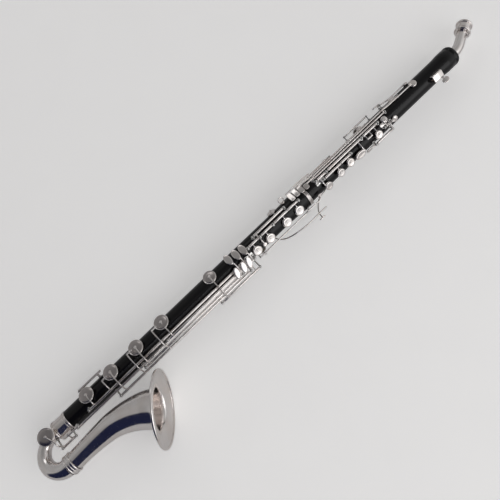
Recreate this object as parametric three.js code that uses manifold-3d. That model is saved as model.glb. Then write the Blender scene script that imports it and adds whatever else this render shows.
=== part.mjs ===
// A basset horn lying on a table: black wooden body in two joints, silvered bow and bell below, bent
// silvered neck above, and the keywork with its pivot rods, posts, hinge tubes, cups, pads and touches.
// X runs up the body, +Z is up from the table, and the bell stands out towards -Y. Lengths are millimetres.
import * as THREE from 'three';
import { mergeVertices } from 'three/addons/utils/BufferGeometryUtils.js';
import Module from 'manifold-3d';

const wasm = await Module();
wasm.setup();

// Wooden body
const bodyRadius = 15.7;
const upperRadius = 15.9;
const boreRadius = 7.6;
const lowerLength = 502;
const upperLength = 331.7;
const lowerOverreach = 3;
const upperOverreach = 2.3;
const lowerReach = lowerLength + lowerOverreach;
const upperReach = upperLength + upperOverreach;
const socketRadius = 18.1;
const socketFlare = 30;
const tenonRadius = 13.1;
const tenonLength = 22;
const topRadius = 16.7;
const topBulge = 24;
const fitGap = 0.3;
const mergeShare = 1e-4;

// Silvered rings of the body
const jointRingLength = 6.6;
const jointRingRadius = 18.9;
const collarLength = 27;
const collarBeadRadius = 16.6;
const collarBeadWidth = 2.6;
const sheetWall = 1.1;

// Bow, its ring, and the bell
const frontTilt = 15;
const bowStraight = 10.5;
const bowRadius = 27.6;
const bowTaper = 1.8;
const bowStartRadius = 9.3;
const bowEndRadius = 14.3;
const bowRingLength = 11;
const bowRingRadius = 16.6;
const bellStartRadius = 14.4;
const bellThroatRadius = 30;
const bellRimRadius = 57.6;
const bellOffset = 92.4;
const bellReach = 131.6;
const bellTiltDegrees = 35;
const bellTurnDegrees = 14;
const bellRimRoll = 1.9;

// Neck and mouthpiece receiver
const neckRadius = 8.4;
const neckBend = 35;
const neckBendDegrees = 29;
const neckStraight = 26;
const neckTenonDepth = 20;
const receiverLength = 20;
const receiverRadius = 11.7;
const receiverBeadRadius = 13.4;
const receiverBore = 9.9;
const receiverBeadWidth = 3.2;
const lugRadius = 3.6;
const lugThickness = 2.6;
const lugHoleRadius = 1.4;
const lugTurnDegrees = 25;

// Pivot rods, hinge tubes, posts and arms
const rodRadius = 0.9;
const tubeRadius = 2.2;
const thinRodRadius = 0.55;
const thinTubeRadius = 1.4;
const rodClearance = 0.3;
const postRadius = 1.35;
const ballRadius = 2.35;
const smallBallRadius = ballRadius * 0.72;
const armRadius = 1.2;
const footRadius = 2.9;
const footHeight = 1.1;
const endGap = 0.35;

// Cups, pads and finger plates
const seatHeight = 0.7;
const plateSeatHeight = 1.6;
const leftSeatHeight = 3.4;
const padGap = 0.35;
const lowCupRadius = 12.2;
const bowCupRadius = 13.5;
const cupHeight = 2.7;
const padThickness = 1.9;
const padRise = 2.6;
const plateRadius = 8.2;
const leftPlateRadius = 7.1;
const plateHeight = 3.3;
const plateRise = 1.7;
const smallCupHeight = 3.4;
const touchThickness = 1.7;
const armDepthShare = 0.6;
const padShare = 0.82;
const bridgeDepth = 8.5;

// Fittings
const guardLength = 45;
const guardWidth = 7;
const guardThickness = 1.8;
const strapRingRadius = 4.4;
const strapWireRadius = 1;
const lyreLength = 19;
const lyreWidth = 12;
const lyreHeight = 9.5;
const lyreHoleRadius = 3.1;
const lyreScrewRadius = 1.3;
const lyreHeadLength = 13.2;
const lyreHeadWidth = 10;
const lyreHeadThickness = 2.4;

// Stations along the body
const jointStation = lowerLength;
const upperStart = jointStation + jointRingLength + fitGap;
const topStation = upperStart + upperLength;
const bowRingEnd = -collarLength / 2 - bowStraight + bowRingLength;
const overrun = bodyRadius;

// Looks
const silver = { color: 0xc9c6c2, roughness: 0.22, metalness: 1 };
const satin = { color: 0x9b9894, roughness: 0.42, metalness: 1 };
const steel = { color: 0xb4b2ae, roughness: 0.3, metalness: 1 };
const wood = { color: 0x0d0c0e, roughness: 0.32, metalness: 0 };
const leather = { color: 0xd9cdb4, roughness: 0.8, metalness: 0 };

// Turns in degrees, and the sides of the round solids
const fullTurn = 360;
const halfTurn = fullTurn / 2;
const quarterTurn = fullTurn / 4;
const bodySides = 24;
const sheetSides = 16;
const cupSides = 14;
const padSides = 12;
const tubeSides = 8;
const armSides = 5;
const postSides = 4;

const turn = (degrees) => THREE.MathUtils.degToRad(degrees);

// Outward direction at an azimuth: 0 points to the front, 90 up, 180 to the back
function outward(degrees) {
  return new THREE.Vector3(0, -Math.cos(turn(degrees)), Math.sin(turn(degrees)));
}

function polar(station, degrees, reach) {
  return outward(degrees).multiplyScalar(reach).setX(station);
}

// A spot beside the body, from its shares of the body radius towards the front and upwards
function spot(station, [frontShare, upShare]) {
  return new THREE.Vector3(station, -frontShare * bodyRadius, upShare * bodyRadius);
}

// Stations of the keywork, as shares of the reach that the keys of each joint are spread over
const lowerAt = (share) => share * lowerReach;
const upperAt = (share) => lowerReach + jointRingLength + fitGap + share * upperReach;

// Solids from three.js geometry
function solidOf(geometry) {
  const bare = geometry.index ? geometry.toNonIndexed() : geometry.clone();
  for (const key of Object.keys(bare.attributes)) {
    if (key !== 'position') bare.deleteAttribute(key);
  }
  const merged = mergeVertices(bare, sheetWall * mergeShare);
  const places = merged.attributes.position.array;
  const corners = Array.from(merged.index.array);
  const kept = [];
  for (let i = 0; i < corners.length; i += 3) {
    const [a, b, c] = corners.slice(i, i + 3);
    if (a !== b && b !== c && c !== a) kept.push(a, b, c);
  }
  if (signedVolume(places, kept) < 0) {
    for (let i = 0; i < kept.length; i += 3) [kept[i + 1], kept[i + 2]] = [kept[i + 2], kept[i + 1]];
  }
  return new wasm.Manifold(new wasm.Mesh({
    numProp: 3,
    vertProperties: new Float32Array(places),
    triVerts: new Uint32Array(kept),
  }));
}

function signedVolume(places, corners) {
  const point = (i) => new THREE.Vector3().fromArray(places, i * 3);
  let total = 0;
  for (let i = 0; i < corners.length; i += 3) {
    const [a, b, c] = corners.slice(i, i + 3).map(point);
    total += a.dot(b.cross(c));
  }
  return total;
}

function join(...solids) {
  return solids.flat().reduce((sum, solid) => sum.add(solid));
}

function geometryOf(solid) {
  const { vertProperties, triVerts } = solid.getMesh();
  const geometry = new THREE.BufferGeometry();
  geometry.setAttribute('position', new THREE.BufferAttribute(new Float32Array(vertProperties), 3));
  geometry.setIndex(Array.from(triVerts));
  geometry.computeVertexNormals();
  return geometry;
}

function meshOf(name, solid, look) {
  const mesh = new THREE.Mesh(geometryOf(solid), new THREE.MeshStandardMaterial(look));
  mesh.name = name;
  return mesh;
}

// Outline of the horn's outside as (station, radius), from the bow's start to the top of the upper joint
const outerProfile = [
  [-collarLength / 2 - overrun, bowStartRadius],
  [-collarLength / 2, bowStartRadius],
  [-collarLength / 2, bodyRadius],
  [lowerLength - socketFlare * 1.6, bodyRadius],
  [lowerLength - socketFlare * 0.9, (bodyRadius + socketRadius) / 2],
  [lowerLength - socketFlare * 0.5, socketRadius],
  [upperStart, socketRadius],
  [upperStart, upperRadius],
  [topStation - topBulge * 1.5, upperRadius],
  [topStation - topBulge, topRadius],
  [topStation, topRadius],
];

function surfaceAt(station) {
  const next = outerProfile.findIndex(([place]) => place > station);
  const [[low, lowRadius], [high, highRadius]] = outerProfile.slice(next - 1, next + 1);
  return lowRadius + ((station - low) / (high - low)) * (highRadius - lowRadius);
}

// Frame at a point whose Z axis is the given direction and whose X axis lies near the second one
function frameAt(point, up, along = new THREE.Vector3(1, 0, 0)) {
  const z = up.clone().normalize();
  const y = z.clone().cross(along).normalize();
  const x = y.clone().cross(z);
  return new THREE.Matrix4().makeBasis(x, y, z).setPosition(point);
}

// Round bar between two points
function bar(from, to, radius, sides = armSides + 1) {
  const along = to.clone().sub(from);
  const geometry = new THREE.CylinderGeometry(radius, radius, along.length(), sides);
  geometry.rotateX(turn(quarterTurn));
  const middle = from.clone().add(to).multiplyScalar(0.5);
  const lengthwise = Math.abs(along.x) > along.length() / 2;
  const side = lengthwise ? new THREE.Vector3(0, 0, 1) : new THREE.Vector3(1, 0, 0);
  geometry.applyMatrix4(frameAt(middle, along, side));
  return solidOf(geometry);
}

function ball(point, radius) {
  const geometry = new THREE.SphereGeometry(radius, armSides + 1, postSides - 1);
  geometry.rotateX(turn(quarterTurn));
  geometry.translate(point.x, point.y, point.z);
  return solidOf(geometry);
}

// Round arm that bends smoothly through its points
function arm(points, radius = armRadius, steps = points.length + 1, sides = armSides) {
  const section = new THREE.Shape();
  section.absarc(0, 0, radius, 0, turn(fullTurn));
  const outline = new THREE.Shape(section.getPoints(sides).slice(0, sides));
  const path = new THREE.CatmullRomCurve3(points);
  return solidOf(new THREE.ExtrudeGeometry(outline, { steps, extrudePath: path, bevelEnabled: false }));
}

// Turned disc with a rounded shoulder, its base on the point and its top along the outward direction
function disc(point, up, radius, height, sides = cupSides, along = undefined, stretch = 1) {
  const profile = [[0, 0], [radius, 0], [radius, height * 0.6], [radius * 0.86, height], [0, height]];
  const geometry = new THREE.LatheGeometry(profile.map(([r, z]) => new THREE.Vector2(r, z)), sides);
  geometry.rotateX(turn(quarterTurn));
  geometry.scale(stretch, 1, 1);
  geometry.applyMatrix4(frameAt(point, up, along));
  return solidOf(geometry);
}

// Flat finger plate with rounded corners, its base centred on the point
function tablet(point, up, along, halfLength, halfWidth, thickness = touchThickness) {
  const corner = Math.min(halfLength, halfWidth) * 0.6;
  const shape = new THREE.Shape();
  const x = halfLength - corner;
  const y = halfWidth - corner;
  shape.absarc(x, y, corner, 0, turn(quarterTurn));
  shape.absarc(-x, y, corner, turn(quarterTurn), turn(halfTurn));
  shape.absarc(-x, -y, corner, turn(halfTurn), turn(halfTurn + quarterTurn));
  shape.absarc(x, -y, corner, turn(halfTurn + quarterTurn), turn(fullTurn));
  const flat = { depth: thickness, bevelEnabled: false, curveSegments: 2 };
  const geometry = new THREE.ExtrudeGeometry(shape, flat);
  geometry.applyMatrix4(frameAt(point, up, along));
  return solidOf(geometry);
}

// Rings of points joined into a skin: outer rings one way and inner rings back, open at both ends
function shell(rings, sides) {
  const places = [];
  const corners = [];
  for (const { centre, side, rise, radius } of rings) {
    for (let i = 0; i < sides; i += 1) {
      const angle = turn((i / sides) * fullTurn);
      const point = centre.clone().addScaledVector(side, radius * Math.cos(angle));
      places.push(...point.addScaledVector(rise, radius * Math.sin(angle)).toArray());
    }
  }
  for (let ring = 0; ring < rings.length; ring += 1) {
    const next = (ring + 1) % rings.length;
    for (let i = 0; i < sides; i += 1) {
      const j = (i + 1) % sides;
      corners.push(ring * sides + i, ring * sides + j, next * sides + j);
      corners.push(ring * sides + i, next * sides + j, next * sides + i);
    }
  }
  const geometry = new THREE.BufferGeometry();
  geometry.setAttribute('position', new THREE.Float32BufferAttribute(places, 3));
  geometry.setIndex(corners);
  return solidOf(geometry);
}

// Tube of changing radius along a curve that lies in the plane of the bell
function curvedTube(curve, radii, wall, sides) {
  const planeNormal = outward(frontTilt + quarterTurn);
  const steps = radii.length - 1;
  const ringAt = (index, inset) => {
    const share = index / steps;
    const ahead = curve.getTangentAt(share);
    return {
      centre: curve.getPointAt(share),
      side: ahead.clone().cross(planeNormal).normalize(),
      rise: planeNormal,
      radius: radii[index] - inset,
    };
  };
  const outer = radii.map((_, index) => ringAt(index, 0));
  const inner = radii.map((_, index) => ringAt(index, wall)).reverse();
  return shell([...outer, ...inner], sides);
}

// Turned ring or tube about the body's axis, from (station, radius) corners that close on themselves
function turned(corners, sides) {
  const profile = [...corners, corners[0]].map(([station, radius]) => new THREE.Vector2(radius, station));
  const geometry = new THREE.LatheGeometry(profile, sides);
  geometry.rotateZ(turn(-quarterTurn));
  return solidOf(geometry);
}

// Raised seat of a tone hole, standing out of the wood under a pad
function seat(station, degrees, radius, surface, height) {
  const foot = polar(station, degrees, surface - radius / 3);
  const top = polar(station, degrees, surface + height);
  return bar(foot, top, radius, tubeSides);
}

// Post with a foot on the body and a ball around its rod
function post(point, radius = ballRadius, stem = postRadius) {
  const out = new THREE.Vector3(0, point.y, point.z).normalize();
  const foot = out.clone().multiplyScalar(surfaceAt(point.x) + fitGap).setX(point.x);
  const cap = foot.clone().addScaledVector(out, footHeight);
  const base = bar(foot, cap, footRadius * (stem / postRadius), armSides);
  return join(base, bar(foot, point, stem, postSides), ball(point, radius));
}

// Curved plate that lies on the body and carries posts
function saddle(station, length, fromDegrees, toDegrees, surface) {
  const shape = new THREE.Shape();
  const inner = surface + fitGap;
  const outer = inner + footHeight;
  shape.absarc(0, 0, outer, turn(fromDegrees), turn(toDegrees), false);
  shape.absarc(0, 0, inner, turn(toDegrees), turn(fromDegrees), true);
  const flat = { depth: length, bevelEnabled: false, curveSegments: tubeSides };
  const geometry = new THREE.ExtrudeGeometry(shape, flat);
  const lengthwise = new THREE.Vector3(1, 0, 0);
  const across = new THREE.Matrix4().makeBasis(outward(0), outward(quarterTurn), lengthwise);
  geometry.applyMatrix4(across.setPosition(station - length / 2, 0, 0));
  return solidOf(geometry);
}

// A hinge line runs from one station to another, straight, at a place given by shares of the body radius
function hingeLine(placeShares, endShares = placeShares, from = 0, to = 1) {
  return (station) => {
    const along = (station - from) / (to - from);
    const mix = (a, b) => a + (b - a) * along;
    return spot(station, [mix(placeShares[0], endShares[0]), mix(placeShares[1], endShares[1])]);
  };
}

// +1 where a positive turn about +X moves the pad the way that pressing the key moves it
function pressSense(hinge, pad, closes) {
  const reach = pad.clone().sub(hinge);
  const moved = new THREE.Vector3(1, 0, 0).cross(reach);
  const out = new THREE.Vector3(0, pad.y, pad.z);
  return Math.sign(moved.dot(out)) * (closes ? -1 : 1);
}

// Key on a hinge line: a group whose X axis is the hinge, turned so that pressing is a positive turn
function keyOn(name, line, from, to, sense, pieces, extras = [], thin = false) {
  const outer = thin ? thinTubeRadius : tubeRadius;
  const bore = (thin ? thinRodRadius : rodRadius) + rodClearance;
  const start = line(from);
  const end = line(to);
  const along = end.clone().sub(start).normalize();
  const channel = bar(
    start.clone().addScaledVector(along, -overrun),
    end.clone().addScaledVector(along, overrun),
    bore,
  );
  const solid = join(bar(start, end, outer, tubeSides), ...pieces).subtract(channel);
  const middle = start.clone().add(end).multiplyScalar(0.5);
  const up = new THREE.Vector3(0, middle.y, middle.z);
  const frame = frameAt(middle, up, along.multiplyScalar(sense));
  return grouped(name, frame, [[name, solid, silver], ...extras]);
}

// Group at a frame holding meshes whose solids are given in the body's own coordinates
function grouped(name, frame, members) {
  const group = new THREE.Group();
  group.name = `${name}_place`;
  frame.decompose(group.position, group.quaternion, group.scale);
  const inverse = frame.clone().invert();
  for (const [label, solid, look] of members) {
    const mesh = meshOf(label, solid, look);
    mesh.geometry.applyMatrix4(inverse);
    group.add(mesh);
  }
  return group;
}

const horn = new THREE.Group();
const place = (name, solid, look) => horn.add(meshOf(name, solid, look));

// Low keys on the lower joint. Each has a pad on top of the body, a long hinge tube and a touch for the
// right little finger. Stations are shares of the lower joint, places shares of its radius.
const lowKeyShares = {
  low_key_a: {
    line: [0.898, 1.032], tube: [0.099, 0.7257], pad: 0.1182, azimuth: 102, arm: [[0.75, 1.47]],
    lever: 0.7198, row: 'upper', touch: 0.7162, shift: 0.06, bend: [[0.86, 1.47], [0.42, 1.88]],
    link: { station: 0.1822, from: [[0.9, 1.5], [0.4, 1.8], [-0.12, 1.82]], reach: 0.0185 },
  },
  low_key_b: {
    line: [1.828, 0.274], tube: [0.1901, 0.7149], pad: 0.2133, azimuth: 101, arm: [[1.72, 1.2], [1.1, 1.62]],
    lever: 0.7081, row: 'lower', touch: 0.7081, shift: 0, bend: [[1.87, 0.92], [1.72, 1.25]],
    link: { station: 0.285, from: [[1.85, 0.85], [1.5, 1.6], [0.8, 1.86], [-0.3, 1.86]], reach: 0.0178 },
  },
  low_key_c: {
    line: [1.548, 0.414], tube: [0.299, 0.6891], pad: 0.3149, azimuth: 103, arm: [[1.6, 1.2], [1.1, 1.62]],
    lever: 0.6812, row: 'lower', touch: 0.6812, shift: -0.04, bend: [[1.68, 0.9], [1.66, 1.2]],
    link: { station: 0.3835, from: [[1.62, 0.95], [1.4, 1.6], [0.8, 1.86], [-0.3, 1.86]], reach: 0.0178 },
  },
  low_key_d: {
    line: [1.258, 0.968], tube: [0.402, 0.698], pad: 0.419, azimuth: 106, arm: [[1.16, 1.5]],
    lever: 0.6945, row: 'upper', touch: 0.6895, shift: -0.1, bend: [[1.12, 1.5], [0.5, 1.89]],
  },
  low_key_e: {
    line: [2.102, -0.038], tube: [0.5941, 0.7426], pad: 0.6143, azimuth: 102, cup: 0.88,
    arm: [[2.05, 0.9], [1.5, 1.58], [0.7, 1.66]],
    lever: 0.7292, row: 'lower', touch: 0.7292, shift: 0.02, bend: [[2.12, 0.6], [1.86, 1.15]],
  },
};
const lowLeverShares = {
  line: [1.28, 0.656], tube: [0.0395, 0.7475], lever: 0.7448, touch: 0.741, shift: 0.16,
  bend: [[1.27, 1.5], [0.6, 1.9]],
};
const upperTouchShares = { centre: [0, 1.98], azimuth: 97, length: 0.62, width: 0.34, lean: 0 };
const lowerTouchShares = { centre: [1.38, 1.5], azimuth: 52, length: 0.62, width: 0.29, lean: -0.3 };

function lowPadCentre(keyShares) {
  const reach = bodyRadius + seatHeight + padGap + padRise + padThickness + fitGap;
  return polar(lowerAt(keyShares.pad), keyShares.azimuth, reach);
}

// Touch for the little finger: an oval plate across the body
function littleTouch(station, touchShares, shift) {
  const up = outward(touchShares.azimuth);
  const across = new THREE.Vector3(1, 0, 0).cross(up).setX(touchShares.lean);
  const radius = touchShares.width * bodyRadius;
  const centre = touchCentre(station, touchShares, shift);
  return disc(centre, up, radius, touchThickness, padSides, across, touchShares.length / touchShares.width);
}

function touchCentre(station, touchShares, shift) {
  const [front, up] = touchShares.centre;
  return spot(station, [front + shift, up]);
}

// Arm from one key's tube over the next key's cup, with an adjusting screw above the cup's rim
function linkArm(line, { station, from, reach }) {
  const start = lowerAt(station);
  const bends = from.map((share) => spot(start, share));
  const end = spot(start + lowerAt(reach), from[from.length - 1]);
  const foot = end.clone().setZ(end.z - armRadius);
  const head = end.clone().setZ(end.z + armRadius * 2);
  const rise = arm([line(start), ...bends], armRadius, bends.length);
  return [rise, bar(bends[bends.length - 1], end, armRadius), bar(foot, head, armRadius * 0.8)];
}

function lowKey(name, keyShares) {
  const line = hingeLine(keyShares.line);
  const [from, to] = keyShares.tube.map(lowerAt);
  const up = outward(keyShares.azimuth);
  const cupBase = lowPadCentre(keyShares);
  const station = cupBase.x;
  const cupTop = cupBase.clone().addScaledVector(up, cupHeight);
  const padBase = cupBase.clone().addScaledVector(up, -fitGap - padThickness);
  const touchShares = keyShares.row === 'upper' ? upperTouchShares : lowerTouchShares;
  const lever = lowerAt(keyShares.lever);
  const touch = lowerAt(keyShares.touch);
  const cupArm = arm([line(station), ...keyShares.arm.map((share) => spot(station, share)), cupTop]);
  const touchEnd = touchCentre(touch, touchShares, keyShares.shift)
    .addScaledVector(outward(touchShares.azimuth), touchThickness / 2);
  const touchArm = arm([line(lever), ...keyShares.bend.map((share) => spot(lever, share)), touchEnd]);
  const radius = lowCupRadius * (keyShares.cup ?? 1);
  const cup = disc(cupBase, up, radius, cupHeight, sheetSides);
  const pad = bar(padBase, cupBase.clone().addScaledVector(up, -fitGap), radius * padShare, padSides);
  const links = keyShares.link ? linkArm(line, keyShares.link) : [];
  const pieces = [cup, cupArm, touchArm, littleTouch(touch, touchShares, keyShares.shift), ...links];
  const sense = pressSense(line(station), cupBase, true);
  return keyOn(name, line, from, to, sense, pieces, [[`${name}_pad`, pad, leather]]);
}

// Long lever that works the bow's key from the highest touch, with a finger over that key's crank
const bowKeyShares = {
  line: [1.66, 0.5], tube: [-0.032, 0.0089], pad: [-0.0446, 1.42], azimuth: 91, crank: 0.003,
  post: [-0.0374, 0.0145], arm: [[1.4, 1.4], [0.9, 1.62]], crankTip: [1.083, 1.178], finger: [1.3, 1.205],
};
const lowPlateAzimuths = [-8, 54];

function lowLever(name) {
  const line = hingeLine(lowLeverShares.line);
  const [from, to] = lowLeverShares.tube.map(lowerAt);
  const lever = lowerAt(lowLeverShares.lever);
  const touch = lowerAt(lowLeverShares.touch);
  const touchEnd = touchCentre(touch, upperTouchShares, lowLeverShares.shift)
    .addScaledVector(outward(upperTouchShares.azimuth), touchThickness / 2);
  const touchArm = arm([line(lever), ...lowLeverShares.bend.map((share) => spot(lever, share)), touchEnd]);
  const start = from + tubeRadius;
  const crank = lowerAt(bowKeyShares.crank);
  const { finger: beside } = bowKeyShares;
  const finger = join(
    bar(line(start), spot(start, beside), armRadius),
    ball(spot(start, beside), armRadius),
    bar(spot(start, beside), spot(crank - armRadius, beside), armRadius),
  );
  const sense = pressSense(line(from), spot(from, upperTouchShares.centre), true);
  const plate = littleTouch(touch, upperTouchShares, lowLeverShares.shift);
  return keyOn(name, line, from, to, sense, [touchArm, finger, plate]);
}

// Key of the bow's tone hole, on a short rod at the front of the collar
function bowKey(name) {
  const line = hingeLine(bowKeyShares.line);
  const [from, to] = bowKeyShares.tube.map(lowerAt);
  const up = outward(bowKeyShares.azimuth);
  const [padStation, padReach] = bowKeyShares.pad;
  const cupBase = polar(lowerAt(padStation), bowKeyShares.azimuth, padReach * bodyRadius);
  const cupTop = cupBase.clone().addScaledVector(up, cupHeight);
  const padTop = cupBase.clone().addScaledVector(up, -fitGap);
  const padBase = padTop.clone().addScaledVector(up, -padThickness);
  const root = from + tubeRadius;
  const bends = bowKeyShares.arm.map((share) => spot((root * 2 + cupBase.x) / 3, share));
  const cupArm = arm([line(root), ...bends, cupTop]);
  const crank = lowerAt(bowKeyShares.crank);
  const crankArm = arm([line(crank), spot(crank, bowKeyShares.crankTip)]);
  const cup = disc(cupBase, up, bowCupRadius, cupHeight, sheetSides);
  const pad = bar(padBase, padTop, bowCupRadius * padShare, padSides);
  const sense = pressSense(line(root), cupBase, true);
  return keyOn(name, line, from, to, sense, [cup, cupArm, crankArm], [[`${name}_pad`, pad, leather]]);
}

// Rod with a post at each given station
function rodWithPosts(line, stations, thin = false) {
  const radius = thin ? thinRodRadius : rodRadius;
  const head = thin ? smallBallRadius : ballRadius;
  const stem = thin ? postRadius * 0.75 : postRadius;
  const posts = stations.map((station) => post(line(station), head, stem));
  return join(bar(line(stations[0]), line(stations[stations.length - 1]), radius, postSides), ...posts);
}

const postStep = ballRadius + endGap;

function lowRods() {
  const lines = [...Object.values(lowKeyShares), lowLeverShares];
  const rods = lines.map(({ line, tube }) => {
    const [from, to] = tube.map(lowerAt);
    return rodWithPosts(hingeLine(line), [from - postStep, to + postStep]);
  });
  const ends = lines.map(({ tube }) => lowerAt(tube[1]) + postStep);
  const first = Math.min(...ends) - footRadius;
  const last = Math.max(...ends) + footRadius - fitGap;
  const [lowEdge, highEdge] = lowPlateAzimuths;
  return join(saddle((first + last) / 2, last - first, lowEdge, highEdge, bodyRadius), ...rods);
}

// Finger plates: a cup over its tone hole with an arm back to the stack's rod
const rightPlateShares = {
  right_plate_1: { tube: [0.763, 0.8022], pad: 0.7747 },
  right_plate_2: { tube: [0.8146, 0.8578], pad: 0.8291 },
  right_plate_3: { tube: [0.8677, 0.9225], pad: 0.8992 },
  right_plate_4: { tube: [0.9238, 0.9634], pad: 0.9513 },
};
const rightStackShares = { line: [0.229, 1.318], posts: [0.7576, 0.8084, 0.8627, 0.9695], azimuth: 42 };
const leftPlateShares = {
  left_plate_4: { line: 'back', tube: [0.0625, 0.1105], pad: 0.0865, azimuth: 33, stem: 0.0728 },
  left_plate_3: { line: 'front', tube: [0.0958, 0.1946], pad: 0.169, azimuth: 38 },
  left_plate_2: { line: 'front', tube: [0.1967, 0.2547], pad: 0.234, azimuth: 42 },
  left_spoon: {
    line: 'back', tube: [0.1285, 0.3395], pad: 0.2965, azimuth: 36, radiusShare: 0.86, stretch: 1.8,
    stem: 0.321,
  },
  left_plate_1: { line: 'back', tube: [0.36, 0.4473], pad: 0.4225, azimuth: 44, bridge: [0.366, 0.394] },
};
const leftStackShares = {
  back: [0.12, 1.35], front: [0.5, 1.23], plate: [62, 90],
  backPosts: [0.0534, 0.1195, 0.3497, 0.4564], frontPosts: [0.0877, 0.2638],
};

// Both rods of the left-hand stack stand on one base plate at their lower ends
function leftStackRods(backLine, frontLine) {
  const ends = [leftStackShares.backPosts[0], leftStackShares.frontPosts[0]].map(upperAt);
  const length = ends[1] - ends[0] + footRadius * 2;
  const [from, to] = leftStackShares.plate;
  return join(
    saddle((ends[0] + ends[1]) / 2, length, from, to, upperRadius),
    rodWithPosts(backLine, leftStackShares.backPosts.map(upperAt)),
    rodWithPosts(frontLine, leftStackShares.frontPosts.map(upperAt)),
  );
}

function plateBase(station, azimuth, surface, seatTop) {
  return polar(station, azimuth, surface + seatTop + padGap + plateRise);
}

function plateKey(name, line, tube, station, azimuth, surface, seatTop, radius, extras = {}) {
  const { stretch = 1, stem: stemStation = station, bridge } = extras;
  const up = outward(azimuth);
  const base = plateBase(station, azimuth, surface, seatTop);
  const cup = disc(base, up, radius, plateHeight, cupSides, undefined, stretch);
  const top = base.clone().addScaledVector(up, plateHeight);
  top.x = stemStation;
  const root = line(stemStation);
  const towards = new THREE.Vector3(0, root.y - top.y, root.z - top.z).normalize();
  const shoulder = top.clone().addScaledVector(towards, radius).addScaledVector(up, armRadius / 2);
  const stem = arm([root, shoulder, top.addScaledVector(up, -armRadius / 2)], armRadius * 1.15);
  const loop = bridge ? [bridgeLoop(line, bridge.map(upperAt))] : [];
  const sense = pressSense(root, base, true);
  return keyOn(name, line, tube[0], tube[1], sense, [cup, stem, ...loop]);
}

// Open loop that stands out from a hinge tube towards the front
function bridgeLoop(line, [from, to]) {
  const corners = [from, to].map((station) => {
    const root = line(station);
    return new THREE.Vector3(station, root.y - bridgeDepth, root.z - armRadius);
  });
  const legs = corners.map((corner) => bar(line(corner.x), corner, armRadius * 0.8));
  const ends = corners.map((corner) => ball(corner, armRadius));
  return join(bar(...corners, armRadius), ...ends, ...legs);
}

// Right-hand side key: closed cup at the back edge and a bar that crosses over to the front
const sideKeyShares = {
  line: [-0.248, 1.312], tube: [0.796, 0.9168], posts: [0.7906, 0.9222], pad: 0.8871, azimuth: 144,
  arm: [[-0.62, 1.36], [-1.05, 1.1]], lever: 0.802, bridge: [[-0.12, 1.66], [0.6, 1.76], [1.2, 1.42]],
  face: 50,
};

// Closed cup: it rests just over its seat and pressing the touch lifts it
function closedCup(station, azimuth, surface, radius, stretch = 1) {
  const base = polar(station, azimuth, surface + seatHeight + padGap);
  const up = outward(azimuth);
  const top = base.clone().addScaledVector(up, smallCupHeight * armDepthShare);
  return { base, top, solid: disc(base, up, radius, smallCupHeight, padSides, undefined, stretch) };
}

function sideKey(name) {
  const line = hingeLine(sideKeyShares.line);
  const [from, to] = sideKeyShares.tube.map(lowerAt);
  const station = lowerAt(sideKeyShares.pad);
  const cup = closedCup(station, sideKeyShares.azimuth, bodyRadius, plateRadius * padShare, 1.15);
  const cupArm = arm([line(station), ...sideKeyShares.arm.map((share) => spot(station, share)), cup.top]);
  const lever = lowerAt(sideKeyShares.lever);
  const bridge = arm([line(lever), ...sideKeyShares.bridge.map((share) => spot(lever, share))]);
  const face = outward(sideKeyShares.face);
  const tip = spot(lever, sideKeyShares.bridge[2]).addScaledVector(face, -armRadius);
  const touch = disc(tip, face, plateRadius * 0.42, touchThickness, padSides);
  const sense = pressSense(line(from), cup.base, false);
  return keyOn(name, line, from, to, sense, [cup.solid, cupArm, bridge, touch]);
}

// Left little-finger levers, whose touches stand out past the front edge around the middle joint
const frontLeverShares = {
  line: [1.484, 0.127], tube: [0.774, 0.9725], posts: [0.7686, 0.978], pad: 0.79, azimuth: -60,
  arm: [[1.5, -0.5], [1.2, -1.1]], lever: 0.965,
  bend: [[0.968, 1.49, 0.38], [0.985, 1.51, 0.4], [1.018, 1.53, 0.42], [1.0285, 1.42, 0.48]],
  touch: [1.031, 1.24, 0.6], half: 0.26, face: 22,
};
const longLeverShares = {
  tube: [0.4673, 0.8871], posts: [0.4594, 0.8951], pad: 0.495, azimuth: -68, arm: [[0.35, -1.78]],
  lever: 0.845,
  bend: [
    [0.852, 0.8, -1.84], [0.868, 1.53, -1.3], [0.893, 1.98, -0.72], [0.925, 2.2, -0.5], [0.965, 2.31, -0.4],
  ],
  touch: [0.999, 2.28, -0.36], half: 0.9, face: -9,
};
const crossLeverShares = {
  tube: [0.098, 0.2635], posts: [0.0862, 0.2745], pad: 0.235, azimuth: -122,
  arm: [[-0.8, -1.66], [-0.92, -1.3]],
  lever: 0.107,
  bend: [[0.092, 0.62, -1.62], [0.04, 0.88, -1.42], [0.006, 1.4, -1.3], [-0.02, 2.1, -1.06]],
  touch: [-0.026, 2.72, -0.86], half: 0.36, face: -16,
};
const restLineFrontShare = -0.38;

// Bell shell: its centre line leaves the bow parallel to the body and leans out to the front
const bellLineShares = [
  [0.05, 0.59], [0.26, 0.59], [0.47, 0.612], [0.69, 0.708], [0.87, 0.845], [1, 1],
];
const bellRadiusShares = [0, 0.03, 0.07, 0.13, 0.21, 0.31, 0.43, 0.57, 0.72, 0.87, 1];
const bellFlareShares = [[0.955, 0.06], [0.972, 0.2], [0.986, 0.47], [0.995, 0.8], [1, 1]];
const bellRollShares = [[0, -0.9], [1, 0], [0.9, 0.9], [0, 1.3], [-1, 0.9]];
const bellBodyShare = 0.93;
const bellLeanShares = [0.82, 0.95];

// A point in the plane of the bow and bell
function bellPoint(station, reach) {
  return polar(station, frontTilt, reach);
}

function bellCurve() {
  const points = bellLineShares.map(([forwardShare, outShare]) => (
    bellPoint(forwardShare * bellReach, outShare * bellOffset)
  ));
  const start = bellPoint(bowRingEnd + fitGap, bowRadius * 2);
  return new THREE.CatmullRomCurve3([start, ...points], false, 'centripetal');
}

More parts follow.
